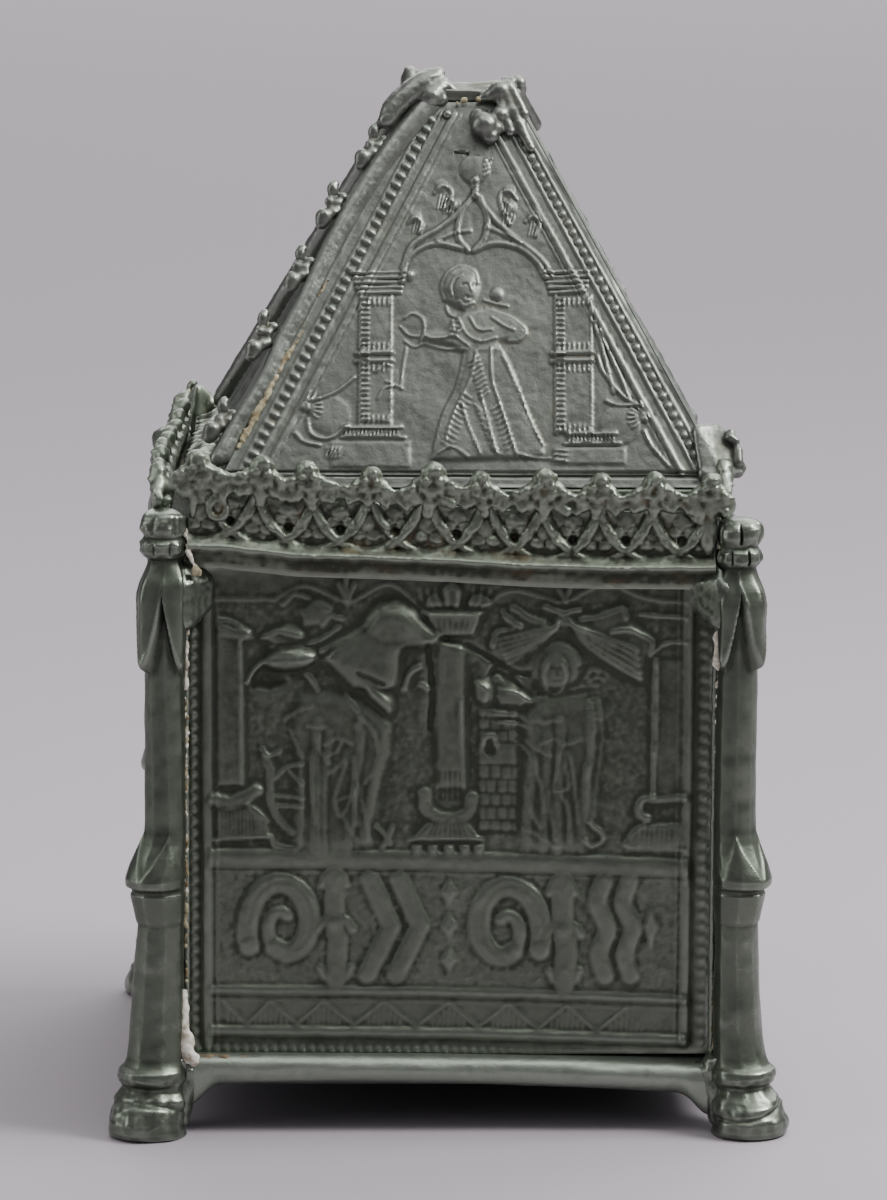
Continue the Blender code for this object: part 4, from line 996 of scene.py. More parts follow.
crest_pewter = pewter(
    "crest_pewter", deep=(0.033, 0.038, 0.027), metal=(0.165, 0.186, 0.145), worn=(0.25, 0.283, 0.23), rough=0.38,
    stain=0.5, stain_colour=(0.16, 0.115, 0.06), grain=0.6,
)
for quarter, side in enumerate(SIDES):
    near = side == "front"
    trough = CREST_FLAT if side == "right" else CREST_TROUGH
    section = CREST_BELOW + CREST_FACE + trough + CREST_LEDGE
    count = 330 if near else 130
    strip = add_sheet(f"cast_crest_{side}", len(section), count)
    points = bar_points(section, np.linspace(-BAY_HALF, BAY_HALF, count + 1))
    u, out, z = points[:, 0], -points[:, 1], points[:, 2].copy()
    lost_from, lost_to = CREST_LOST.get(side, (99.0, 99.0))
    lost = step_up(u, lost_from - 0.5, lost_from + 0.5) * step_up(u, lost_to + 0.5, lost_to - 0.5)
    plate = {"u": u, "z": z, "rise": np.zeros(len(u))}
    ribs = []
    for knob in KNOBS:
        sweep = np.linspace(-1.02, 1.02, 17)
        ribs.append([(knob + KNOB_PITCH * s, ARCH_FOOT + (ARCH_PEAK - ARCH_FOOT) * abs(s) ** 2.1) for s in sweep])
    draw(plate, ribs, 0.85, 0.75)
    for knob in KNOBS:
        for du, level, size in LEAVES_IN_ARCH:
            dome(plate, (knob + du, level), (size, size * 0.8), 0.4)
        dome(plate, (knob + KNOB_PITCH / 2, 99.1), (0.8, 0.7), -0.8)
    rough = lumps(points, 1.5, 91 + quarter) * 0.32 + lumps(points, 0.7, 95 + quarter) * 0.13
    face = step_up(z, 95.7, 96.5) * step_up(out, 46.3, 46.8)
    rim = step_up(out, 45.2, 46.0) * step_up(z, 96.4, 95.6)
    rim_wave = 0.5 * rough + 0.25 * lumps(points * (0.3, 1, 1), 2.6, 99 + quarter)
    rise = face * (plate["rise"] + rough - 0.35) + rim * rim_wave
    nearest = np.min(np.abs(u[:, None] - np.array(KNOBS)[None]), axis=1)
    on_band = step_up(out, 45.0, 45.3)
    scallop = (0.9 * np.exp(-(nearest / 1.6) ** 2) - (0.1 if near else 0.5)) * step_up(z, 99.0, BAND_TOP) * on_band
    broken = lost * step_up(z, 98.0, BAND_TOP) * on_band * (1.0 + 0.9 * lumps(points * (1, 0, 0), 2.4, 103))
    up, inwards = crest_lean(side, u, z)
    outside = step_up(out, 43.9, 45.2)
    points[:, 1] -= rise - inwards * outside
    points[:, 2] += scallop * (1 - lost) + broken + up * outside
    set_points(strip, points)
    close_tube(strip)
    # The knobs, modelled as one mass along the strip
    rng = np.random.default_rng(200 + quarter)
    balls = []
    for knob in KNOBS:
        size = rng.uniform(0.86, 1.08) * (0.86 if near and knob == KNOBS[3] else 1.0)
        if not lost_from - 2.0 < knob < lost_to + 2.0:
            balls += crocket(knob, size, rng)
    balls += crest_extras(side)
    balls = np.array(balls)
    balls[:, 1] *= -1
    fineness = {"front": 0.33, "left": 0.5}.get(side, 0.6)
    leaves = cast_balls(f"leaves_{side}", balls.tolist(), fineness, 300 + quarter, 0.13)
    points = get_points(leaves)
    up, inwards = crest_lean(side, points[:, 0], points[:, 2])
    points[:, 1] += inwards
    points[:, 2] += up
    set_points(leaves, points)
    only(strip)
    leaves.select_set(True)
    bpy.ops.object.join()
    set_points(strip, turned(get_points(strip), quarter))
    # Painted shade on every strip, and more of it on the upper part of the right one.
    dirt_and_shade = crest_shade(0.22 if side == "right" else 0.0)
    finish_piece(strip, crest_pewter, "pewter_crest", f"crest_strip_{side}", dirt_and_shade=dirt_and_shade)


# Roof plates
# Four leaning cast pewter plates, soldered along the hips, with a beaded and rolled border on each slope. The front one
# shows a figure in low relief between two pillars under an ogee arch; the others are plainer. Lighter and duller than
# the box below.

ROOF_FOOT, ROOF_RISE = 105.5, 59.2
ROOF_LOW, ROOF_HIGH = 41.5, 8.2
ROOF_SLOPE = (ROOF_LOW - ROOF_HIGH) / ROOF_RISE
# The roof stands this far to the right of the box's middle
ROOF_SHIFT = 3.4
ROOF_WALL = 1.8


def roof_spots(*places):
    """Places measured on the photograph, in its pixels, as mm across and up the front roof plate."""
    return [(0.162212 * x - 0.001836 * y - 75.720, 0.000113 * x - 0.153631 * y + 74.425) for x, y in places]


def engrave_roof(plate, width, rise, *paths):
    """Smooth lines through places on the photograph, raised or cut on the front roof plate."""
    draw(plate, [curve(roof_spots(*path), 4) for path in paths], width, rise)


def roof_borders(plate, left_bead, left_roll, right_bead, right_roll):
    """Bead lines and rolls along both slopes, and two cut lines along the foot."""
    top = ROOF_RISE - 2.0
    for sign, bead, roll, radius, squash, roll_rise in (
            (-1, left_bead, left_roll, 0.85, 0.62, 0.28), (1, right_bead, right_roll, 0.66, 0.9, 0.42)):
        foot, head = sign * ROOF_LOW, sign * (ROOF_LOW - ROOF_SLOPE * top)
        beads(plate, (foot - sign * (bead + 1.5), 2.8), (head - sign * bead, top), 1.7, radius, 0.42, squash)
        for inset, half, rise in (
                (bead - 1.15, 0.3, 0.18), (bead + 1.25, 0.35, 0.24), (roll, 0.6, roll_rise), (roll + 1.1, 0.3, 0.1)):
            draw(plate, [[(foot - sign * (inset + 1.3), 2.4), (head - sign * inset, top)]], half, rise)
    draw(plate, [[(-41.0, 1.75), (41.0, 1.6)], [(-41.0, 2.3), (41.0, 2.15)]], 0.2, -0.28)


def onto_roof(piece, points, quarter=0):
    """Gives a piece its points, turned to their side and shifted with the roof."""
    points = turned(points, quarter)
    points[:, 0] += ROOF_SHIFT
    set_points(piece, points)


def add_roof_plate(side, quarter, across, up, relief):
    """A roof plate with its relief and its back, in its place."""
    piece = add_sheet(f"cast_roof_{side}", across, up)
    share, height = np.meshgrid(np.linspace(-1.0, 1.0, across + 1), np.linspace(0.0, ROOF_RISE, up + 1))
    share, height = share.ravel(), height.ravel()
    half = ROOF_LOW - ROOF_SLOPE * height - 0.15
    plate = new_plate(across, up, 2 * ROOF_LOW, ROOF_RISE) | {"u": share * half}
    relief(plate)
    roughen(plate, (0.22, 8.0, 110 + quarter), (0.08, 2.4, 114 + quarter), (0.045, 0.8, 118))
    edge = np.minimum(half * (1 - np.abs(share)), np.minimum(height, ROOF_RISE - height))
    rise = np.clip(plate["rise"], -0.9, 1.9) * step_up(edge, -0.01, 0.5)
    length = math.hypot(1.0, ROOF_SLOPE)
    front = np.stack([plate["u"], -(half + 0.15), ROOF_FOOT + height], axis=1)
    front += rise[:, None] * np.array([0.0, -1.0 / length, ROOF_SLOPE / length])
    tuck = {"right": step_up(share, 0.55, 1.0), "back": step_up(share, -0.55, -1.0)}.get(side, 0 * half) * 1.9
    front[:, 1] += tuck
    set_points(piece, front)
    give_back(piece)
    points = get_points(piece)
    rim = points[len(front):]
    rim[:, 1] -= 2.0
    rim[:, 1] += ROOF_WALL * length
    rim[:, 0] = np.clip(rim[:, 0], rim[:, 1], -rim[:, 1])
    onto_roof(piece, points, quarter)
    return piece


def front_relief(plate):
    """The front roof plate: a figure between two pillars under an arch, with fruits and leaves in the corners."""
    roof_borders(plate, 3.6, 7.0, 2.7, 6.4)
    # Pillars on plinths
    for foot, shaft, head in (
            ((330, 439, 411, 466), (360, 296, 391, 423), (352, 273, 404, 294)),
            ((553, 445, 626, 463), (556, 296, 592, 432), (545, 272, 590, 294))):
        x0, y0, x1, y1 = foot
        pad(plate, roof_spots((x0, y1), (x1, y1), (x1, y0), (x0, y0)), 0.22, 0.45, keep=0.5)
        engrave_roof(plate, 0.35, 0.3, ((x0 + 12, y0 - 3), (x1 - 6, y0 - 3)),
            ((x0 + 14, y0 - 13), (x1 - 10, y0 - 13)))
        engrave_roof(plate, 0.22, 0.2, *(((x, y0 - 12), (x, y0 - 4)) for x in range(x0 + 16, x1 - 10, 4)))
        x0, y0, x1, y1 = shaft
        pad(plate, roof_spots((x0, y1), (x1, y1), (x1, y0), (x0, y0)), 0.2, 0.5, keep=0.5)
        for y in (353, 361):
            engrave_roof(plate, 0.42, 0.35, ((x0 - 4, y), (x1 + 1, y - 1)))
        engrave_roof(plate, 0.22, 0.22, *(((x0 + 1, y), (x0 + 8, y)) for y in range(y0 + 3, y1, 5)))
        nicks = [((x, y), (x, y + 7)) for x in range(x0 + 3, x1, 5) for y in (y0 + 2, 343, 364, y1 - 8)]
        engrave_roof(plate, 0.2, 0.18, *nicks)
        engrave_roof(plate, 0.28, 0.22, ((x1, y0), (x1, y1)), ((x0, y0), (x0, y1)))
        x0, y0, x1, y1 = head
        for step in range(5):
            engrave_roof(plate, 0.36, 0.32, ((x0 + step * 1.5, y0 + 5 * step), (x1 - step, y0 + 5 * step - 1)))
    dome(plate, roof_spots((409, 275))[0], (0.8, 0.8), 0.5)
    dome(plate, roof_spots((402, 280))[0], (0.7, 0.7), 0.4)
    # The arch: crossing ribs under a ball, curled leaves and a vesica in the crossing
    engrave_roof(plate, 0.5, 0.36, ((477, 190), (463, 207), (440, 227), (412, 244), (402, 268)),
        ((462, 248), (440, 243), (424, 246), (408, 258), (403, 274)),
        ((474, 192), (494, 218), (516, 238), (541, 258), (552, 273)),
        ((474, 250), (494, 243), (518, 247), (536, 260), (546, 276)),
        ((472, 196), (460, 216), (458, 236), (468, 250)), ((480, 196), (488, 218), (484, 238), (474, 250)))
    engrave_roof(plate, 0.42, 0.2, ((470, 230), (455, 232), (436, 240)), ((486, 226), (500, 232), (520, 243)))
    dome(plate, roof_spots((475, 168))[0], (2.6, 2.3), 0.34, power=0.35)
    engrave_roof(plate, 0.2, 0.16, *(((484, 160 + 5 * k), (492 - k, 157 + 5 * k)) for k in range(4)))
    engrave_roof(plate, 0.7, 0.5, ((475, 180), (476, 194)))
    for curl in (
            ((434, 192), (441, 185), (450, 188), (451, 198), (444, 208)), ((448, 196), (455, 203), (450, 212)),
            ((517, 198), (510, 190), (501, 193), (501, 204), (510, 224)), ((505, 200), (511, 206), (508, 214)),
            ((408, 222), (415, 217), (421, 222), (419, 232)), ((526, 221), (534, 216), (541, 223), (536, 236))):
        engrave_roof(plate, 0.36, 0.24, curl)
        dome(plate, roof_spots(curl[1])[0], (1.1, 1.0), 0.2)
        x, y = curl[-1]
        engrave_roof(plate, 0.18, 0.14, *(((x + 3 * k - 4, y - 14 + 2 * k), (x + 3 * k - 7, y)) for k in range(4)))
    engrave_roof(plate, 0.22, -0.4, ((455, 151), (468, 152)))
    # The figure: cloak, skirt, sleeves, head and what the hands hold
    cloak = ((464, 312), (486, 308), (510, 316), (527, 330), (520, 341), (500, 342), (498, 352), (466, 352),
             (448, 346), (424, 342), (422, 332), (444, 330))
    skirt = ((466, 350), (499, 346), (516, 378), (528, 414), (544, 444), (540, 456), (500, 458), (437, 459),
             (434, 448), (443, 414), (458, 384))
    hair = ((442, 286), (447, 273), (461, 266), (475, 272), (480, 288), (474, 304), (460, 309), (446, 302))
    for outline, rise in ((cloak, 0.42), (skirt, 0.4), (hair, 0.5)):
        pad(plate, curve(roof_spots(*outline), 4), 0.75 * rise, 0.6, keep=0.4, crown=0.12)
    dome(plate, roof_spots((465, 289))[0], (1.75, 2.35), 0.35, turn=-12)
    engrave_roof(plate, 0.26, 0.2, ((444, 300), (441, 286), (447, 272), (461, 265), (475, 271), (479, 283)),
        ((446, 306), (449, 314), (458, 318)), ((452, 296), (450, 288), (454, 280), (462, 275)),
        ((458, 302), (466, 307), (474, 303)), ((461, 305), (466, 310), (472, 307)))
    engrave_roof(plate, 0.2, -0.16, ((462, 286), (465, 285), (468, 286)), ((472, 286), (474, 285), (476, 286)),
        ((466, 298), (469, 299), (472, 298)))
    engrave_roof(plate, 0.25, 0.2, ((470, 286), (472, 292)))
    dome(plate, roof_spots((497, 294))[0], (1.1, 1.1), 0.45)
    engrave_roof(plate, 0.24, 0.19, ((484, 300), (494, 303), (508, 306)), ((486, 308), (500, 312), (514, 318)),
        ((514, 318), (527, 330), (520, 340), (508, 341)), ((492, 318), (504, 326), (514, 330)),
        ((458, 318), (466, 334), (480, 342), (496, 338)), ((470, 318), (478, 330), (492, 330)),
        ((424, 322), (426, 336), (444, 338), (462, 330)), ((426, 344), (446, 349), (466, 350)),
        ((452, 322), (456, 336), (468, 346)), ((404, 318), (412, 313), (422, 318), (424, 332), (420, 344)),
        ((400, 326), (408, 334), (418, 336)), ((404, 340), (414, 346), (424, 343)),
        ((406, 347), (403, 366), (401, 385)), ((386, 381), (394, 384), (402, 388)),
        ((376, 372), (384, 364), (392, 366)), ((378, 398), (384, 388), (392, 386)),
        ((465, 351), (457, 385), (443, 414), (435, 448)), ((491, 348), (492, 378), (500, 404), (517, 455)),
        ((499, 345), (516, 378), (528, 414), (543, 444)), ((476, 352), (470, 380), (454, 412), (446, 440)),
        ((480, 392), (488, 420), (496, 452)), ((462, 402), (468, 424), (480, 452)),
        ((517, 452), (532, 456), (551, 456)), ((437, 452), (452, 446), (468, 456)))
    hatch = []
    for start, end, count, reach in (
            ((478, 356), (490, 396), 9, (-9, 6)), ((502, 356), (540, 440), 18, (6, 8)),
            ((462, 392), (440, 446), 11, (9, 6)), ((474, 404), (494, 452), 10, (8, 6)),
            ((500, 404), (516, 448), 9, (-8, 5)), ((452, 320), (448, 340), 4, (8, 3))):
        for k in range(count):
            x, y = (start[i] + (end[i] - start[i]) * k / count for i in (0, 1))
            hatch.append(((x, y), (x + reach[0], y + reach[1])))
    engrave_roof(plate, 0.2, 0.17, *hatch)
    # The fruits and leaves in the corners
    for x, y, sign in ((330, 414, 1), (620, 424, -1)):
        dome(plate, roof_spots((x, y))[0], (3.4, 2.9), 0.24, power=0.35)
        eye = (x - 25 * sign, y - 8)
        veins = [((eye[0] + 4 * sign * math.cos(a), eye[1] + 4 * math.sin(a)),
            (eye[0] + 17 * sign * math.cos(a), eye[1] + 15 * math.sin(a))) for a in np.radians(range(-75, 46, 20))]
        engrave_roof(plate, 0.22, 0.24, *veins)
        dome(plate, roof_spots(eye)[0], (0.8, 0.8), 0.4)
    engrave_roof(plate, 0.32, 0.3, ((308, 400), (334, 392), (354, 377)),
        ((308, 418), (312, 433), (330, 437), (349, 424)), ((296, 432), (304, 440), (320, 444)),
        ((595, 322), (604, 352), (614, 392)), ((598, 356), (604, 372), (624, 396), (640, 404)),
        ((600, 330), (616, 366), (630, 398)), ((644, 429), (651, 444), (668, 464)),
        ((606, 400), (618, 404), (634, 404)))
    engrave_roof(plate, 0.2, 0.2, *(((x, 446), (x - 1, 456)) for x in (328, 332, 336, 340)))
    engrave_roof(plate, 0.22, 0.2, *(((554, y), (566, y + 1)) for y in (448, 453, 458)))


def plain_relief(plate):
    """The hidden roof plates: the same borders round a plain field with a small arch on two pillars."""
    roof_borders(plate, 3.0, 6.4, 3.0, 6.4)
    draw(plate, [[(u, 3.5), (u, 28)] for u in (-14, -18, 14, 18)], 0.4, 0.35)
    ogee = [curve([(sign * 16, 29), (sign * 11, 36), (sign * 3, 40), (0, 48)]) for sign in (-1, 1)]
    draw(plate, ogee, 0.7, 0.5)
    capitals = [[(-19.5, 29), (-12.5, 29)], [(12.5, 29), (19.5, 29)], [(-20, 3.6), (-12, 3.6)],
        [(12, 3.6), (20, 3.6)]]
    draw(plate, capitals, 0.6, 0.45)
    dome(plate, (0.0, 50.0), (1.8, 1.8), 0.5)


roof_pewter = pewter(
    "roof_pewter", deep=(0.076, 0.083, 0.072), metal=(0.138, 0.149, 0.130), worn=(0.235, 0.252, 0.224), rough=0.42,
    stain=0.25, stain_colour=(0.22, 0.19, 0.13), grain=0.5,
)
for quarter, side in enumerate(SIDES):
    size, relief = ((256, 280), front_relief) if side == "front" else ((90, 90), plain_relief)
    roof = add_roof_plate(side, quarter, *size, relief)
    finish_piece(roof, roof_pewter, "pewter_roof", f"roof_plate_{side}")


# Hip rolls, their remnants and the finials
# A smooth cast pewter roll covers each left hip and ends in a leafy finial; the front one has five leaf crockets, the
# back one only their stumps. Both right ones are broken away: their tops are left, and a mass of solder at the front
# foot.

HIP_START = np.array([-ROOF_LOW, -ROOF_LOW, ROOF_FOOT])
HIP_END = np.array([-ROOF_HIGH, -ROOF_HIGH, ROOF_FOOT + ROOF_RISE])
HIP_ALONG = (HIP_END - HIP_START) / np.linalg.norm(HIP_END - HIP_START)
HIP_ASIDE = np.array([1.0, -1.0, 0.0]) / math.sqrt(2.0)
HIP_OUTWARD = np.cross(HIP_ASIDE, HIP_ALONG)
HIP_OUTWARD *= -1.0 if HIP_OUTWARD[0] > 0 else 1.0


def on_hip(share, out, aside, size):
    """A ball at a share of the hip's length, this far outwards and sideways; the size is one or three radii."""
    place = HIP_START + (HIP_END - HIP_START) * share + HIP_OUTWARD * out + HIP_ASIDE * aside
    return (*place, *(size if isinstance(size, tuple) else (size, size, size)))


def on_front(x, y, out, size, quarter=0):
    """A ball on the front roof plate, at a place in the photograph's pixels, for a piece still to be turned."""
    u, height = roof_spots((x, y))[0]
    face = -(ROOF_LOW - ROOF_SLOPE * height) - out
    place = (u, face) if quarter == 0 else (face, -u)
    return (*place, ROOF_FOOT + height, *(size if isinstance(size, tuple) else (size, size, size)))


def crocket_on_hip(upper, lower):
    """A leaf beside the roll that parts into two buds, the lower one larger, at places in the photograph's pixels."""
    (x0, y0), (x1, y1) = upper, lower
    return [on_front(*lump) for lump in (
        (x1, y1, -0.1, (1.45, 1.35, 1.75)), (x1 - 2, y1 + 6, -0.2, 1.1), (x1 + 9, y1 - 5, -0.4, 1.15),
        (x1 + 14, y1 - 6, -0.6, 1.0), (x0, y0, -0.1, (1.0, 1.0, 1.45)), (x0 + 2, y0 - 6, 0.0, 0.85),
        (x0 - 3, y0 + 12, -0.2, 0.95), (x0 + 5, y0 + 14, -0.4, 1.0), (x0 + 11, y0 + 8, -0.6, 0.9))]


def finial(rng):
    """A bulky leaf folded over the hip's head, with a knotted top that leans outwards."""
    balls = [on_hip(s, 0.9 + 4.5 * (s - 0.9), -0.8, 1.6 + 3.0 * (s - 0.9)) for s in np.linspace(0.90, 1.0, 12)]
    head = HIP_END + np.array([0.0, 0.0, 0.6])
    for dx, dy, dz, size in (
            (0.6, -0.6, 0.6, 2.1), (-0.9, -0.9, 1.5, 1.9), (1.6, -0.8, 1.2, 1.6), (2.6, -0.7, 0.6, 1.35),
            (3.4, -0.6, 0.1, 1.1), (-0.3, -1.0, 3.0, 1.25), (0.9, -0.9, 2.9, 0.95), (-1.2, -0.6, 3.0, 0.8),
            (-2.6, -1.6, -0.6, 1.5), (-2.0, -0.6, 1.2, 1.3), (0.5, 1.8, 1.2, 1.3), (-3.3, -2.0, -2.2, 1.3),
            (-0.7, 1.0, 2.2, 1.1)):
        balls.append((*(head + (dx, dy, dz) + rng.uniform(-0.1, 0.1, 3)), size, size, size))
    return balls


hip_pewter = pewter(
    "hip_pewter", deep=(0.051, 0.057, 0.047), metal=(0.160, 0.171, 0.150), worn=(0.25, 0.267, 0.237), rough=0.36,
    stain=0.25, stain_colour=(0.19, 0.165, 0.10), grain=0.35,
)


def along(rows, count):
    """This many steps along a line that is given by rows such as (x, y, radius)."""
    steps = np.linspace(0, len(rows) - 1, count)
    return zip(*(np.interp(steps, range(len(rows)), column) for column in zip(*rows)))


# The front left roll is bent, so its line is given in the photograph's pixels, with its radius in mm at each place
ROLL_LINE = ((219, 457, 1.5), (236, 423, 1.25), (253, 397, 1.2), (266, 375, 1.2), (281, 340, 1.2), (297, 311, 1.2),
    (310, 284, 1.25), (328, 247, 1.4), (349, 209, 1.65), (373, 172, 1.85), (395, 142, 2.1), (417, 116, 2.3),
    (430, 100, 2.1))
CROCKETS = (
    ((372, 131), (361, 157)), ((331, 189), (322, 217)), ((299, 254), (291, 281)), ((262, 319), (253, 349)),
    ((223, 406), (212, 430)),
)
FINIAL = (
    (385, 118, 1.5), (391, 107, 1.9), (400, 97, 2.1), (411, 88, 2.15), (422, 80, 2.1), (431, 75, 1.7), (438, 70, 1.2),
)
roll = []
for x, y, radius in along(ROLL_LINE, 230):
    roll.append(on_front(x, y, 0.9 - radius * 0.8, radius))
    roll.append(on_front(x + 6 + radius * 1.5, y, -0.55, 1.05))
buds = [lump for pair in CROCKETS for lump in crocket_on_hip(*pair)]
for x, y, radius in along(FINIAL, 36):
    buds.append(on_front(x, y, 0.5, radius))
buds += [on_front(*lump) for lump in (
    (427, 71, 0.4, 1.2), (430, 95, 0.0, 2.3), (434, 90, 0.0, 2.1), (438, 85, 0.0, 1.8), (443, 80, 0.2, 1.2),
    (447, 84, 0.2, 1.1), (451, 87, 0.1, 1.0), (456, 90, 0.0, 0.9), (461, 92, 0.0, 0.8), (441, 97, -0.1, 1.3),
    (447, 112, 0.2, 0.9))]
hip = cast_balls("cast_hip_front_left", roll, 0.36, 410, 0.03, soften=6)
leaves = cast_balls("hip_leaves_front_left", buds, 0.28, 412, 0.05, soften=5)
only(hip)
leaves.select_set(True)
bpy.ops.object.join()
onto_roof(hip, get_points(hip))
bud_places = np.array([lump[:3] for lump in buds[:9 * len(CROCKETS)]]) + (ROOF_SHIFT, 0.0, 0.0)


def bud_shade(points):
    """The crockets are painted darker and less rubbed than the roll, as a painted dark reflection."""
    nearest = np.full(len(points), 9.0)
    for place in bud_places:
        nearest = np.minimum(nearest, np.linalg.norm(points - place, axis=1))
    return 0.3 * step_up(nearest, 2.3, 1.4)


finish_piece(hip, hip_pewter, "pewter_roof", "hip_roll_front_left", dirt_and_shade=bud_shade)

balls = [on_hip(share, 1.3, 0.0, 1.85 + 0.5 * step_up(share, 0.84, 0.92)) for share in np.linspace(0.035, 0.97, 190)]
balls += [on_hip(share, 2.3, -0.3, (1.4, 1.4, 1.1)) for share in (0.15, 0.35, 0.525, 0.695, 0.85)]
balls += finial(np.random.default_rng(403))
hip = cast_balls("cast_hip_back_left", balls, 0.5, 413, 0.05, soften=3)
onto_roof(hip, get_points(hip), 3)
finish_piece(hip, hip_pewter, "pewter_roof", "hip_roll_back_left", dirt_and_shade=lambda points: 0.2)

# What is left of the right hips' rolls: the front one's folded top leaf with three flutes, and the back one's stump
front_top = [on_front(*lump, quarter=1) for lump in (
    (500, 88, 1.0, 1.9), (508, 85, 0.8, 1.6), (492, 92, 0.8, 1.4), (484, 94, 0.6, 1.0), (513, 78, 0.6, 0.9),
    (506, 77, 0.6, 0.8), (515, 92, 0.4, 1.3), (484, 122, 1.5, 2.3), (478, 114, 1.2, 1.5), (490, 134, 1.2, 1.4),
    (496, 126, 1.0, 1.3), (500, 112, 1.0, 1.6), (512, 110, 0.2, 1.8), (520, 124, 0.0, 1.5))]
for flute in range(3):
    lean = 1.4 + 0.4 * flute
    front_top += [on_front(498 + 8 * flute + lean * k, 88 + 4.6 * k, 1.5 - 0.09 * k, 0.85, quarter=1)
        for k in range(10 - 2 * flute)]
front_top += [on_front(520 + 2.4 * k, 124 + 4.5 * k, 0.3, 1.2 - 0.08 * k, quarter=1) for k in range(6)]
back_top = [on_hip(share, 0.6, 0.0, 1.3) for share in np.linspace(0.90, 0.985, 12)]
back_top += [on_hip(1.0, 1.2, 0.0, 1.6), on_hip(1.01, 2.0, 0.3, 1.3), on_hip(1.015, 1.5, -0.9, 1.1)]
# The solder at the foot, row by row: wide and thin below, and fringed along its right edge
front_foot = []
for y in range(428, 476, 4):
    left = np.interp(y, (428, 448, 474), (697, 699, 704))
    right = np.interp(y, (428, 434, 448, 468, 475), (714, 724, 733, 741, 737))
    hip_line = 707 + 0.56 * (y - 448)
    for x in np.linspace(left, right, 11):
        front_foot.append(on_front(x, y, 0.3 - 0.09 * max(x - hip_line, 0.0), 0.9, quarter=1))
    front_foot.append(on_front(right, y, 0.0 - 0.09 * max(right - hip_line, 0.0), 1.05 if y % 8 else 0.9, quarter=1))
front_foot += [on_front(738, y, -0.2, 0.85, quarter=1) for y in (449, 453, 457, 461)]
front_foot += [on_front(*lump, quarter=1) for lump in ((730, 436, 0.0, 0.95), (735, 440, -0.2, 0.9),
    (731, 431, -0.2, 0.8))]
front_foot += [on_front(x, 472 + 0.2 * (x - 700), 0.2, (1.2, 0.9, 1.3), quarter=1) for x in range(702, 730, 4)]


def remnant_dirt(points):
    """The remnants are dull, and the outer part of the solder at the foot is grey and dirty."""
    return 0.12 + 0.3 * step_up(points[:, 0], 41.5, 43.5)


for quarter, place, balls, soften in (
        (1, "front_top", front_top, 5), (2, "back_top", back_top, 3), (1, "front_foot", front_foot, 10)):
    remnant = cast_balls(f"cast_remnant_{place}", balls, 0.28, 440 + quarter, 0.04, soften=soften)
    onto_roof(remnant, get_points(remnant), quarter)
    finish_piece(remnant, hip_pewter, "pewter_roof", f"hip_remnant_{place}", dirt_and_shade=remnant_dirt)


# Top plate
# A small cast pewter plate that closes the roof between the finials, soldered on. It sags in the middle and has some
# filler under its edge.

TOP_WIDTH, TOP_LEVEL, TOP_THICK, TOP_SAG = 16.6, 165.4, 2.0, 0.8
bpy.ops.object.select_all(action="DESELECT")
bpy.ops.mesh.primitive_cube_add(size=1.0)
top_plate = bpy.context.object
top_plate.name = top_plate.data.name = "cast_top_plate"
bpy.ops.object.mode_set(mode="EDIT")
bpy.ops.mesh.select_all(action="SELECT")
bpy.ops.mesh.subdivide(number_cuts=15)
bpy.ops.object.mode_set(mode="OBJECT")
points = get_points(top_plate) / 1000.0
to_corner = (np.abs(points[:, 0]) * 2) ** 3 + (np.abs(points[:, 1]) * 2) ** 3
round_off = 1.0 - 0.04 * (np.abs(points[:, 2]) * 2) ** 6
height = TOP_LEVEL + points[:, 2] * TOP_THICK + TOP_SAG * to_corner - 0.5
points = np.stack([points[:, 0] * TOP_WIDTH * round_off, points[:, 1] * TOP_WIDTH * round_off, height], axis=1)
points[:, 2] += 0.3 * lumps(points, 2.5, 450) + 0.15 * lumps(points, 1.1, 451)
onto_roof(top_plate, points)
top_dirt = lambda points: 0.2 + 0.15 * lumps(points, 2.0, 452)
finish_piece(top_plate, hip_pewter, "pewter_roof", "roof_top_plate", dirt_and_shade=top_dirt)


# Solder and filler
# Smooth webs of tin-lead solder run down the seams between posts and panels, broad at the panels' upper corners, and
# fill the corners between rails and feet. The tan and white filler of old repairs in the seams is rough, matt and
# chalky, with a little rust on the front rail.

SEAM_AT = 43.3
# The solder between a rail's end and the foot: along, outwards, height and three sizes
RAIL_SOLDER = (
    (40.6, 46.2, 9.0, 2.4, 2.3, 2.5), (42.2, 46.5, 8.6, 2.0, 2.7, 3.2), (43.3, 46.9, 6.8, 2.0, 3.0, 3.6),
    (43.7, 47.2, 4.6, 1.9, 3.1, 3.2), (43.9, 47.4, 2.9, 1.8, 2.9, 2.4), (42.9, 46.8, 11.2, 1.7, 2.2, 1.8),
    (43.9, 48.6, 12.1, 0.9, 1.1, 1.0), (42.4, 48.3, 10.2, 1.1, 1.2, 1.3),
)


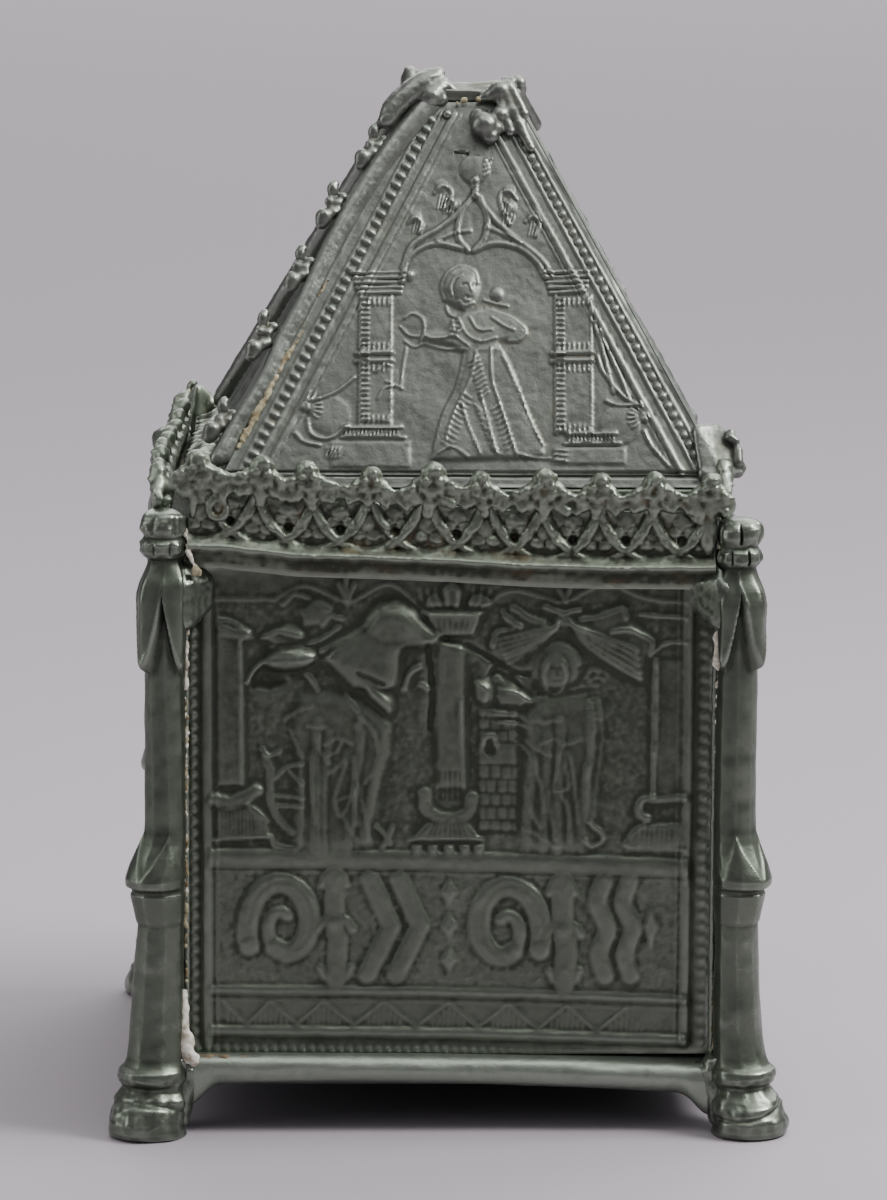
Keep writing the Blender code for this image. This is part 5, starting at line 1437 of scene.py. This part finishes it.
def chalk(name, pale, dark):
    """Old filler: matt, blotched and crumbly."""
    material = bpy.data.materials.new(name)
    material.use_nodes = True
    tree = material.node_tree
    shader = tree.nodes["Principled BSDF"]
    shader.inputs["Roughness"].default_value = 0.85
    place = tree.nodes.new("ShaderNodeTexCoord").outputs["Object"]
    blotch = tree.nodes.new("ShaderNodeTexNoise")
    blotch.inputs["Scale"].default_value, blotch.inputs["Detail"].default_value = 700.0, 8.0
    colours = tree.nodes.new("ShaderNodeValToRGB")
    for stop, position, colour in zip(colours.color_ramp.elements, (0.38, 0.60), (dark, pale)):
        stop.position, stop.color = position, (*colour, 1.0)
    bump = tree.nodes.new("ShaderNodeBump")
    bump.inputs["Distance"].default_value = 0.0002
    tree.links.new(place, blotch.inputs["Vector"])
    tree.links.new(blotch.outputs["Fac"], colours.inputs["Fac"])
    tree.links.new(colours.outputs["Color"], shader.inputs["Base Color"])
    tree.links.new(blotch.outputs["Fac"], bump.inputs["Height"])
    tree.links.new(bump.outputs["Normal"], shader.inputs["Normal"])
    return material


for quarter, side in enumerate(SIDES):
    webs = []
    for sign in (-1, 1):
        widest = 45.6 if sign < 0 else 44.8
        for level in np.arange(84.6, 92.8, 0.85):
            share = np.interp(level, (84.6, 87.0, 93.0), (0.2, 0.9, 1.0))
            outermost = SEAM_AT + (widest - SEAM_AT) * share * step_up(level, 91.2, 88.6)
            sunk = 1.7 * step_up(level, 90.0, 93.0)
            for across in np.linspace(outermost, SEAM_AT - 4.1 * share, 9):
                out = np.interp(across, (39.2, 41.0, 43.3, 45.0, 45.6), (44.4, 45.9, 48.1, 48.9, 48.3)) - sunk
                webs.append((sign * across, -out, level, 1.55, 1.55, 1.55))
        for low, high, across, out, *sizes in (
                (94.0, 101.4, 42.9, 45.6, 0.8, 0.9, 0.9), (80.0, 84.6, 42.9, 45.4, 0.8, 1.0, 0.9),
                (13.4, 80.0, 42.75, 45.0, 0.75, 0.95, 0.9)):
            webs += [(sign * across, -out, level, *sizes) for level in np.arange(low, high, 0.85)]
        webs += [(sign * across, -out, z, *sizes) for across, out, z, *sizes in RAIL_SOLDER]
    web = cast_balls(f"solder_webs_{side}", webs, 0.42 if side == "front" else 0.62, 460 + quarter, 0.08, soften=10)
    set_points(web, turned(get_points(web), quarter))
    finish_piece(web, post_pewter, "pewter_post", dirt_and_shade=lambda points: 0.22 * step_up(points[:, 2], 60.0, 80.0))

white_filler = chalk("white_filler", (0.88, 0.86, 0.75), (0.47, 0.42, 0.31))
tan_filler = chalk("tan_filler", (0.42, 0.385, 0.25), (0.15, 0.115, 0.055))
rust_crust = chalk("rust_crust", (0.24, 0.165, 0.09), (0.12, 0.09, 0.055))
rng = np.random.default_rng(470)


def dab(path, size, gaps):
    """Small balls of filler along a path, uneven in size and here and there missing."""
    balls = []
    for (x0, y0, z0), (x1, y1, z1) in zip(path, path[1:]):
        count = max(int(math.dist((x0, y0, z0), (x1, y1, z1)) / 0.45), 1)
        for k in range(count):
            if rng.random() > gaps:
                t, r = k / count, size * rng.uniform(0.6, 1.25)
                balls.append((x0 + (x1 - x0) * t + rng.uniform(-0.2, 0.2), y0 + (y1 - y0) * t, z0 + (z1 - z0) * t, r,
                    r * 0.8, r * 1.3))
    return balls


# Where the fillers lie: path, size and gaps
WHITE_DABS = (
    ([(-42.9, -46.3, 72.0), (-42.7, -46.4, 84.0)], 0.5, 0.3),
    ([(-42.9, -46.2, 40.0), (-42.8, -46.3, 72.0)], 0.38, 0.5),
    ([(-43.3, -48.2, 13.5), (-43.4, -48.0, 17.5), (-43.3, -47.2, 23.5)], 0.85, 0.03),
    ([(-42.6, -48.6, 12.6), (-42.9, -48.2, 16.5)], 1.25, 0.0),
    ([(-42.0, -48.9, 12.3), (-40.8, -48.6, 12.5)], 0.95, 0.0),
    ([(43.2, -46.8, 77.0), (43.3, -47.0, 82.6)], 0.8, 0.05),
    ([(43.1, -46.2, 60.5), (43.2, -46.4, 76.5)], 0.32, 0.15),
    ([(-42.9, -47.6, 99.8), (-42.2, -48.2, 95.8), (-41.0, -48.7, 93.4)], 0.42, 0.12),
)
TAN_DABS = (
    ([(-40.6, -48.5, 92.7), (-41.4, -48.6, 93.3)], 0.65, 0.0),
    ([(-42.9, -46.3, 24.0), (-42.8, -46.4, 80.0)], 0.36, 0.45),
    ([(43.2, -47.6, 94.0), (43.1, -47.6, 98.5)], 0.35, 0.5),
    ([(x, -8.9, 165.0 + 0.4 * math.sin(3 * x)) for x in (1.5, 3.0, 5.0, 6.5, 8.5)], 0.4, 0.35),
    ([(43.1, -46.4, 12.0), (42.9, -46.0, 24.0)], 0.3, 0.35),
    ([(42.6, -48.8, 7.0), (42.9, -47.9, 11.5)], 0.22, 0.3),
    ([(-38.0, -46.9, 12.3), (-26.0, -46.7, 12.3)], 0.4, 0.35),
    ([(-43.2, -46.3, 34.0), (-43.2, -46.3, 40.0)], 0.4, 0.3),
)
white = [ball for row in WHITE_DABS for ball in dab(*row)]
tan = [ball for row in TAN_DABS for ball in dab(*row)]
rust = [(x, -47.2 + 0.15 * math.sin(2.1 * x), 12.45 - 0.012 * (x + 41) ** 1.5, 0.6, 0.7, rng.uniform(0.5, 0.65))
    for x in np.arange(-40.6, -30.0, 0.45)]
for balls, name, material in ((white, "white_filler_seams", white_filler), (tan, "tan_filler_seams", tan_filler),
        (rust, "rust_on_rail", rust_crust)):
    filler = cast_balls(name, balls, 0.25, 480, 0.12)
    finish_piece(filler, material, "pewter_crest")
# The seam beside the front left roll, in the photograph's pixels, with the filler's thickness
SEAM_LINE = ((238, 447, 0.5), (245, 435, 0.62), (252, 421, 0.7), (261, 405, 0.75), (268, 391, 0.75), (274, 378, 0.7),
    (283, 361, 0.62), (291, 348, 0.45), (300, 334, 0.32), (305, 319, 0.25), (311, 303, 0.25), (320, 290, 0.32),
    (328, 277, 0.28))
seam = []
for x, y, size in along(SEAM_LINE, 150):
    if rng.random() > 0.22:
        seam.append(on_front(x + rng.uniform(-1.5, 1.5), y, 0.1, 0.85 * size * rng.uniform(0.65, 1.15)))
filler = cast_balls("tan_filler_hip", seam, 0.25, 481, 0.12)
onto_roof(filler, get_points(filler))
finish_piece(filler, tan_filler, "pewter_roof")


# Studio floor, light and camera
# A pale matt floor that runs far back, dim even light from a grey sky, soft boxes above and beside, and the camera at
# the photograph's angle. None of it belongs to the object.

FLOOR_METRES = 16.0
floor = add_sheet("studio_floor", 2, 2)
set_points(floor, get_points(floor) * (FLOOR_METRES, FLOOR_METRES, 1.0))
floor_paint = bpy.data.materials.new("pale_floor")
floor_paint.use_nodes = True
floor_shader = floor_paint.node_tree.nodes["Principled BSDF"]
floor_shader.inputs["Base Color"].default_value = (0.362, 0.328, 0.362, 1.0)
floor_shader.inputs["Roughness"].default_value = 0.9
floor.data.materials.append(floor_paint)

world = bpy.data.worlds.new("studio")
bpy.context.scene.world = world
world.use_nodes = True
sky = world.node_tree
sky_colour = sky.nodes.new("ShaderNodeValToRGB")
sky_angle = sky.nodes.new("ShaderNodeSeparateXYZ")
sky_place = sky.nodes.new("ShaderNodeTexCoord")
sky.links.new(sky_place.outputs["Generated"], sky_angle.inputs[0])
sky.links.new(sky_angle.outputs["Z"], sky_colour.inputs["Fac"])
sky.links.new(sky_colour.outputs["Color"], sky.nodes["Background"].inputs["Color"])
sky_colour.color_ramp.elements[0].color = (0.16, 0.155, 0.165, 1.0)
sky_colour.color_ramp.elements[1].position = 0.8
sky_colour.color_ramp.elements[1].color = (0.95, 0.94, 0.98, 1.0)
sky.nodes["Background"].inputs["Strength"].default_value = 0.44


def soft_box(name, place, aim, size, power):
    """A square-cornered area light at a place, aimed at another; places and sizes in mm, power in watts."""
    bpy.ops.object.select_all(action="DESELECT")
    bpy.ops.object.light_add(type="AREA", location=Vector(place) / 1000.0)
    lamp = bpy.context.object
    lamp.name = name
    lamp.data.shape = "RECTANGLE"
    lamp.data.size, lamp.data.size_y = size[0] / 1000.0, size[1] / 1000.0
    lamp.data.energy = power
    lamp.rotation_euler = (Vector(aim) - Vector(place)).to_track_quat("-Z", "Y").to_euler()


soft_box("light_floor", (800, 3400, 2600), (0, 1700, 0), (6000, 4000), 222.0)
soft_box("light_above", (120, -120, 950), (0, 0, 90), (900, 700), 4.2)
soft_box("light_right", (640, -120, 700), (0, 0, 80), (400, 400), 12.0)
soft_box("light_left", (-750, -150, 350), (0, 0, 80), (300, 600), 1.5)

CAMERA_TURN, CAMERA_RISE, CAMERA_ROLL = -1.6, 9.894, 0.2641
# The distance and the point aimed at in mm, and the size in mm of one of the photograph's pixels at that point
CAMERA_DISTANCE = 960.0
CAMERA_AIM = (-1.2984, -46.0, 87.8369)
FRAME_WIDTH, PIXEL, SENSOR = 887, 0.1611, 36.0
turn, rise, roll = (math.radians(angle) for angle in (CAMERA_TURN, CAMERA_RISE, CAMERA_ROLL))
ahead = Vector((-math.sin(turn) * math.cos(rise), math.cos(turn) * math.cos(rise), -math.sin(rise)))
level = Vector((math.cos(turn), math.sin(turn), 0.0))
upright = level.cross(ahead)
right = level * math.cos(roll) + upright * math.sin(roll)
up = upright * math.cos(roll) - level * math.sin(roll)
camera = bpy.data.objects.new("camera", bpy.data.cameras.new("camera"))
bpy.context.scene.collection.objects.link(camera)
camera.data.sensor_fit = "HORIZONTAL"
camera.data.sensor_width = SENSOR
camera.data.lens = SENSOR * CAMERA_DISTANCE / PIXEL / FRAME_WIDTH
camera.data.clip_end = 60.0
eye = (Vector(CAMERA_AIM) - ahead * CAMERA_DISTANCE) / 1000.0
camera.matrix_world = Matrix.Translation(eye) @ Matrix((right, up, -ahead)).transposed().to_4x4()
bpy.context.scene.camera = camera
